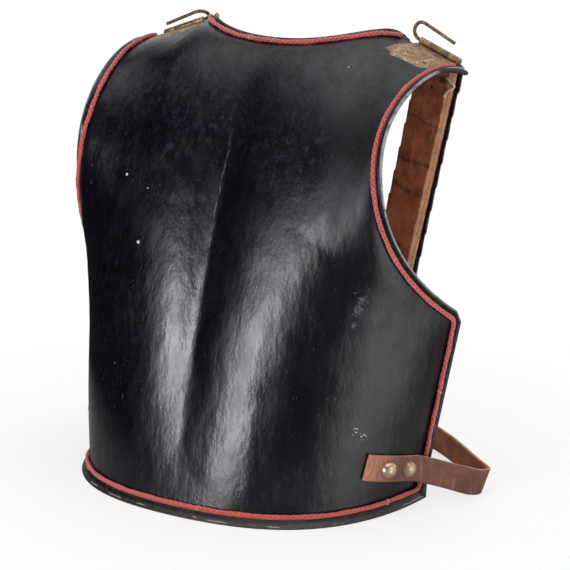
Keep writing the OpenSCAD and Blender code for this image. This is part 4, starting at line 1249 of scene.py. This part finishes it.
class CUIRASS_OT_shoulder_straps(bpy.types.Operator):
    """Builds the two plies of each shoulder strap and finishes its scales"""

    bl_idname = "cuirass.shoulder_straps"
    bl_label = "Shoulder straps"

    def execute(self, context):
        sizes = context.scene.cuirass_leather
        t = sizes.ply / MM
        for name, side in SIDES:
            body = name + "_strap"
            self.ply(name + "_outer_ply", sizes.strap_width / MM / 2, 0.0, -0.7 - t / 2, t, side, body,
                     name + "_strap_leather")
            self.ply(name + "_inner_ply", sizes.lining_width / MM / 2, -1.0, -0.8 - 1.5 * t, t, side, body,
                     name + "_strap_lining")
            path = smooth_path(read_off(np.linspace(0, 7, 50), range(8), THONG), 6)
            path = strap_point(*path.T, side)
            tube(name + "_thong", path, 1.05 * MM, 8, finish_of("Linen thread"), body)
            self.scales(name, side, body)
            dress(name + "_scale_rivets", "Worn brass")
            dress(name + "_strap_end_plate", "Worn brass")
        return {"FINISHED"}

    def scales(self, name, side, body):
        """Arched plates, each tilted over the top of the next one"""
        bm = empty_mesh()
        wear = bm.verts.layers.float.new("wear")
        pitch, length, half, corner, arch, t = 21.0, 28.0, 21.5, 9.0, 116.6, 1.2
        for k in range(11):
            made = bmesh.ops.create_grid(bm, x_segments=20, y_segments=18, size=1)["verts"]
            for vert in made:
                s, z = vert.co.x, (vert.co.y - 1) / 2 * length
                left = max(0.0, corner - (z + length))
                x = s * (half - corner + math.sqrt(max(0.0, corner * corner - left * left)))
                y = t / 2 - arch + math.sqrt(arch * arch - x * x)
                tilt = math.radians(5)
                seat = SCALE_SEAT[0] if k == 0 else SCALE_SEAT[1]
                at_y, at_z = y * math.cos(tilt) - z * math.sin(tilt), y * math.sin(tilt) + z * math.cos(tilt)
                vert.co = Vector(strap_point(x, seat + at_y, -6.0 - k * pitch + at_z, side) * MM)
                vert[wear] = max(0.0, 1 - (z + length) / 3.5, (abs(s) - 0.9) * 8 if z < -6 else 0.0)
        obj = piece(name + "_scale_row", bm, [finish_of("Scale lacquer")], body, (name + "_strap_scales",),
                    "lacquered_scales", flip=side > 0)
        thicken(obj, t * MM)
        soften(obj, 0.3 * MM)

    def ply(self, name, half, shift, y, t, side, body, stands_for):
        def width(s):
            left = max(0.0, s - (STRAP_LENGTH - half))
            return max(3.0, math.sqrt(max(0.0, half * half - left * left)))

        def keep(s, w):
            z = STRAP_TOP - s
            return not (abs(w) < 3.2 and STUD_AT - 13.5 < z < STUD_AT) and math.hypot(w, z - STUD_AT) > 4.6

        bm, place = strip(STRAP_LENGTH, width, 12, 112, STRAP_HOLES, keep)
        spot = places(bm, place)
        s, w = spot[:, 0], spot[:, 1] + shift
        z = STRAP_TOP - s
        sag = 0.25 * np.sin(s * 0.11) * np.cos(w * 0.12)
        put(bm, strap_point(w, y + sag * 0.4, z, side))
        lay_uv(bm, place, MM, MM)
        obj = piece(name, bm, [finish_of("Strap leather"), finish_of("Cut leather")], body, (stands_for,),
                    "strap_leather", flip=side < 0)
        thicken(obj, t * MM, rim=1)
        soften(obj, 0.55 * MM)
        return obj


BELT_Z = 11.3


def free_belt(x, y, z=BELT_Z):
    return LOWER_CORNER + np.array((x, y, z - 8.0))


BAR_DIR = unit((-28.0, 20.0, 0.0))
BAR_OUT = np.cross(BAR_DIR, (0, 0, 1))
BAR_AT = free_belt(-46, 116)


def belt_ribbon(end_run, tail=()):
    """The belt's path: on the plate, lifting off, round the bend and then forward"""
    u = np.linspace(0.75, 0.953, 40)
    v = 0.1079 - 0.226 * (u - 0.75)
    laid = surface(u, v) + outward(u, v) * 2.0
    turn_start = free_belt(38.5, 30)
    turn_end = free_belt(39.5, 43)
    t = np.linspace(0, 1, 46)[1:]
    lift = bezier((laid[-1], laid[-1] + (5.5, 9, -2.6), free_belt(20, 16, BELT_Z + 6.5), turn_start), t)
    turn = bezier((turn_start, free_belt(44.5, 34), free_belt(45.5, 38), turn_end), t[::3])
    forward = bezier((turn_end,) + end_run, np.linspace(0, 1, 90)[1:])
    path = np.concatenate([laid, lift, turn, forward] + ([tail] if len(tail) else []))
    tangent = np.gradient(path, axis=0)
    out = unit(np.cross(tangent, (0, 0, 1)))
    out[:40] = outward(u, v)
    run = run_of(path)
    even = np.linspace(0, run[-1], int(run[-1] / 1.2))
    ribbon = Ribbon(smooth_path(read_off(even, run, path), 4), unit(read_off(even, run, out)))
    bend = ribbon.run[np.argmin(np.linalg.norm(ribbon.points - turn[len(turn) // 2], axis=1))]
    upright = np.where(ribbon.side[:, 2] > 0, 1.0, -1.0)
    ribbon.lean = 0.34 * upright * np.exp(-(((ribbon.run - bend) / 22) ** 2))
    return ribbon


# Domed rivets of a belt: u, v, radius and the height between that of the right and of the left one
BELT_DOMES = ((0.838, 0.0872, 7.2, 5.2), (0.925, 0.0676, 7.0, 5.0))
# The furthest points of the keeper inwards and outwards, half its height, its place and its width
KEEPER_REACH = (-8.36, 4.76)
KEEPER_HALF = 11.6
KEEPER_AT, KEEPER_WIDTH, KEEPER_WALL = -32, 9, 1.6


class CUIRASS_OT_belts(bpy.types.Operator):
    """Lays the two belt ends, the keeper, the rivets and the buckle"""

    bl_idname = "cuirass.belts"
    bl_label = "Waist belt"

    def execute(self, context):
        sizes = context.scene.cuirass_leather
        half, t = sizes.belt_width / MM / 2, sizes.belt_thickness
        tongue = (free_belt(1, 81), free_belt(-58, 138), free_belt(-138, 150))
        ribbon = belt_ribbon(tongue)
        end = ribbon.length

        def pointed(s):
            left = max(0.0, s - (end - 12))
            return half * math.sqrt(max(0.09, 1 - (left / 12.5) ** 2))

        run = (free_belt(39.5, 43),) + tongue
        holes = []
        for k in range(1, 6):
            spot = bezier(run, np.array(1 - (24 + k * 18) / 235))
            holes.append((ribbon.run[np.argmin(np.linalg.norm(ribbon.points - spot, axis=1))], 0.0, 1.75))
        bm, place = strip(end, pointed, 8, int(end / 2.6), holes)
        self.finish(bm, place, ribbon, "belt_tongue", 1, t, "right_belt")
        fold = [BAR_AT + BAR_DIR * a + BAR_OUT * o for a, o in ((-10, 0.7), (-6, 1.9), (-3, 2.55))]
        fold += [BAR_AT + BAR_DIR * 2.75 * math.cos(a) - BAR_OUT * 2.75 * math.sin(a)
                 for a in np.radians(np.arange(-90, 91, 15))]
        fold += [BAR_AT + BAR_DIR * a - BAR_OUT * (2.65 + drop) for a, drop in
                 ((-4, 0), (-9, 0), (-14, 0), (-20, 0.04), (-26, 0.14), (-32, 0.33), (-38, 0.64))]
        near = (free_belt(18, 66), BAR_AT - BAR_DIR * 52, BAR_AT - BAR_DIR * 14)
        ribbon = belt_ribbon(near, np.array(fold))
        bar = ribbon.run[np.argmax((ribbon.points - BAR_AT) @ BAR_DIR)]
        bm, place = strip(ribbon.length, lambda s: half, 14, int(ribbon.length / 2.2),
                          keep=lambda s, w: s > 10 and not (abs(w) < 3.2 and abs(s - bar) < 13))
        obj = self.finish(bm, place, ribbon, "belt_buckle_end", -1, t, "left_belt")
        thick = obj.vertex_groups.new(name="thickness")
        spots = np.array([v.co for v in obj.data.vertices]) / MM * (-1, 1, 1)
        for i, point in enumerate(spots):
            s = ribbon.run[np.argmin(np.linalg.norm(ribbon.points - point, axis=1))]
            share = np.clip((bar - 14 - s) / 8, 0, 1)
            thick.add([i], 0.68 + 0.32 * float(share), "REPLACE")
        obj.modifiers["Thickness"].vertex_group = "thickness"
        self.keeper()
        self.domes("right", 1)
        self.domes("left", -1)
        for name in ("right_belt_burrs", "left_belt_burrs", "buckle_frame", "buckle_prong"):
            dress(name, "Worn brass")
        return {"FINISHED"}

    def finish(self, bm, place, ribbon, name, side, t, stands_for):
        spot = places(bm, place)
        put(bm, mirrored(ribbon.at(spot[:, 0], spot[:, 1]), side))
        lay_uv(bm, place, MM, MM)
        obj = piece(name, bm, [finish_of(k) for k in ("Belt leather", "Cut leather", "Flesh side")], "back",
                    (stands_for,), "belt_leather", flip=side < 0)
        thicken(obj, t, rim=1, back=2)
        soften(obj, 0.5 * MM)
        return obj

    def domes(self, name, side):
        """Domed rivet heads on the belt, on shanks that go through to the burrs"""
        bm = empty_mesh()
        for u, v, r, height in BELT_DOMES:
            height += side
            p, n = surface(u, v)[None], outward(np.array([u]), np.array([v]))
            foot, axis = (p + n * 3.3)[0] * (side, 1, 1), n[0] * (side, 1, 1)
            turn = facing(axis)
            dome = bmesh.ops.create_uvsphere(bm, u_segments=40, v_segments=24, radius=1)["verts"]
            faces = distinct(face for vert in dome for face in vert.link_faces)
            edges = distinct(edge for face in faces for edge in face.edges)
            cut = bmesh.ops.bisect_plane(bm, geom=dome + edges + faces, plane_co=(0, 0, 0),
                                         plane_no=(0, 0, 1), clear_inner=True)
            bmesh.ops.holes_fill(bm, edges=only(bmesh.types.BMEdge, cut["geom_cut"]), sides=0)
            size = Matrix.Diagonal((r * MM, r * MM, height * MM, 1))
            place = Matrix.Translation(Vector(foot) * MM) @ turn @ size
            kept = [face for face in only(bmesh.types.BMFace, cut["geom"]) if face.is_valid]
            for vert in distinct(v for face in kept for v in face.verts):
                vert.co = place @ vert.co
            shank = Matrix.Translation(Vector(foot - axis * 4.1) * MM) @ turn
            bmesh.ops.create_cone(bm, cap_ends=True, segments=20, radius1=2 * MM, radius2=2 * MM,
                                  depth=8.4 * MM, matrix=shank)
        piece(name + "_domes", bm, [finish_of("Dome brass")], "back", (name + "_belt_rivets",), "worn_brass",
              40)

    def keeper(self):
        """A loop of leather that holds the tongue"""
        bm, place = grid(64, 6)
        spot = places(bm, place)
        angle = spot[:, 0] * 2 * math.pi
        across, out = -np.cos(angle), np.sin(angle)
        square = np.maximum(abs(across), abs(out)) ** 0.75
        y, z = out / square, across / square
        low, high = KEEPER_REACH
        y = (low + high) / 2 + y * (high - low) / 2
        z = z * KEEPER_HALF
        along = (KEEPER_AT + KEEPER_WIDTH * spot[:, 1])[:, None]
        points = BAR_AT + BAR_DIR * along - BAR_OUT * (y + 0.31)[:, None] + np.array((0, 0, 1)) * z[:, None]
        put(bm, mirrored(points, -1))
        bmesh.ops.remove_doubles(bm, verts=bm.verts, dist=1e-7)
        bmesh.ops.recalc_face_normals(bm, faces=bm.faces)
        obj = piece("keeper_loop", bm, [finish_of("Belt leather"), finish_of("Cut leather")], "back",
                    ("belt_keeper",), "belt_leather")
        thicken(obj, KEEPER_WALL * MM, rim=1)
        soften(obj, 0.35 * MM)


class CUIRASS_OT_stage(bpy.types.Operator):
    """Sets the floor, the soft light and the camera"""

    bl_idname = "cuirass.stage"
    bl_label = "Stage"

    def execute(self, context):
        scene = context.scene
        sizes = scene.cuirass_stage
        scene.view_settings.view_transform = "Standard"
        self.floor(sizes)
        self.world(scene)
        azimuth, elevation, distance = math.radians(32), math.radians(14), 1.9
        back = Vector((math.sin(azimuth) * math.cos(elevation), -math.cos(azimuth) * math.cos(elevation),
                       math.sin(elevation)))
        pivot = Vector((0, 0.1622, 0.2))
        frame_pixels = 570
        camera = bpy.data.objects.new("Camera", bpy.data.cameras.new("Camera"))
        camera.location = pivot + back * distance
        camera.rotation_euler = (-back).to_track_quat("-Z", "Y").to_euler()
        camera.data.lens = 141.6
        camera.data.sensor_width = 36
        camera.data.shift_x, camera.data.shift_y = 7 / frame_pixels, -51 / frame_pixels
        scene.collection.objects.link(camera)
        scene.camera = camera
        self.soft_box("Key soft box", (-0.5, -1.86, 0.24), (0, 0.05, 0.24), 0.54, 0.96, sizes.key)
        self.soft_box("Side soft box", (-0.79, -1.9, 0.48), (0, 0.05, 0.48), 1.06, 1.0, sizes.key * 0.2)
        return {"FINISHED"}

    def floor(self, sizes):
        """A pale round floor that fades out into the white backdrop"""
        bm = bmesh.new()
        bmesh.ops.create_circle(bm, cap_ends=True, segments=96, radius=0.6,
                                matrix=Matrix.Translation((0, 0.1, 0)))
        mesh = bpy.data.meshes.new("Floor")
        bm.to_mesh(mesh)
        bm.free()
        material, tree, shader = new_material("Pale floor")
        feed(shader, Base_Color=tuple(sizes.floor), Roughness=0.9, Specular_IOR_Level=0.1)
        middle = moved(object_place(tree), place=(0, -0.1, 0))
        far = node(tree, "ShaderNodeVectorMath", {"operation": "LENGTH"}, Vector=middle).outputs["Value"]
        path = node(tree, "ShaderNodeLightPath").outputs
        shown = plus(plus(path["Is Camera Ray"], path["Is Transmission Ray"]), path["Is Glossy Ray"],
                     clamp=True)
        weight = minus(1.0, times(shown, 0.65))
        feed(shader, Alpha=times(ramp(far, 0.26, 0.46, 1, 0), weight))
        mesh.materials.append(material)
        floor = bpy.data.objects.new("Floor", mesh)
        bpy.context.scene.collection.objects.link(floor)

    def world(self, scene):
        """White behind the object, a dim room with a pale ceiling and a pale wall to the right elsewhere"""
        world = bpy.data.worlds.new("Studio")
        scene.world = world
        world.use_nodes = True
        tree = world.node_tree
        tree.nodes.clear()
        path = node(tree, "ShaderNodeLightPath").outputs
        x, y, z = parts_of(node(tree, "ShaderNodeTexCoord").outputs["Generated"])
        ceiling = ramp(z, 0.68, 1.0, 0.0, 1.9)
        behind = times(ramp(y, 0.3, 0.8, 0, 1.0), ramp(z, -0.1, 0.3))
        right = times(ramp(x, 0.76, 0.94, 0, 2.1), ramp(z, 0.72, 0.45))
        right = times(right, ramp(y, -0.2, 0.4, 1.3, 0.75))
        walls = larger(larger(ceiling, behind), right)
        room = plus(walls, ramp(x, -0.1, 0.6, 0.02, 0.11))
        room = plus(room, times(path["Is Diffuse Ray"], 0.4))
        in_metal = times(path["Is Glossy Ray"], ramp(y, 0.7, 0.9))
        backdrop = plus(plus(path["Is Camera Ray"], path["Is Transmission Ray"]), in_metal, clamp=True)
        strength = node(tree, "ShaderNodeMix", Factor=backdrop, A=room, B=1.0).outputs[0]
        background = node(tree, "ShaderNodeBackground", Color=(1, 1, 1, 1), Strength=strength)
        plug(tree.nodes.new("ShaderNodeOutputWorld").inputs[0], background.outputs[0])

    def soft_box(self, name, place, target, width, height, power):
        light = bpy.data.lights.new(name, "AREA")
        light.shape, light.size, light.size_y, light.energy = "RECTANGLE", width, height, power
        light.color = (0.95, 0.95, 1.0)
        obj = bpy.data.objects.new(name, light)
        obj.location = place
        obj.rotation_euler = (Vector(target) - Vector(place)).to_track_quat("-Z", "Y").to_euler()
        bpy.context.scene.collection.objects.link(obj)


OPERATORS = (
    CUIRASS_OT_back_plate,
    CUIRASS_OT_piping,
    CUIRASS_OT_waist_lining,
    CUIRASS_OT_shoulder_hinges,
    CUIRASS_OT_shoulder_straps,
    CUIRASS_OT_belts,
    CUIRASS_OT_stage,
)


class CUIRASS_PT_panel(bpy.types.Panel):
    """Lists the pieces and their settings"""

    bl_label = "Back plate"
    bl_space_type = "VIEW_3D"
    bl_region_type = "UI"
    bl_category = "Back plate"

    def draw(self, context):
        for operator in OPERATORS:
            self.layout.operator(operator.bl_idname)
        for group in SETTINGS.values():
            settings = getattr(context.scene, group)
            for key in settings.bl_rna.properties.keys():
                if key not in ("rna_type", "name"):
                    self.layout.prop(settings, key)


SETTINGS = {
    CuirassPlateSettings: "cuirass_plate",
    CuirassLeatherSettings: "cuirass_leather",
    CuirassColours: "cuirass_colours",
    CuirassStageSettings: "cuirass_stage",
}
CLASSES = tuple(SETTINGS) + OPERATORS + (CUIRASS_PT_panel,)


def register():
    for cls in CLASSES:
        bpy.utils.register_class(cls)
    for cls, name in SETTINGS.items():
        setattr(bpy.types.Scene, name, PointerProperty(type=cls))


def unregister():
    for name in SETTINGS.values():
        delattr(bpy.types.Scene, name)
    for cls in reversed(CLASSES):
        bpy.utils.unregister_class(cls)


def main():
    register()
    bpy.ops.cuirass.stage()
    bpy.ops.cuirass.back_plate()
    bpy.ops.cuirass.piping()
    bpy.ops.cuirass.waist_lining()
    bpy.ops.cuirass.shoulder_hinges()
    bpy.ops.cuirass.shoulder_straps()
    bpy.ops.cuirass.belts()
    bpy.context.view_layer.update()


if __name__ == "__main__":
    main()
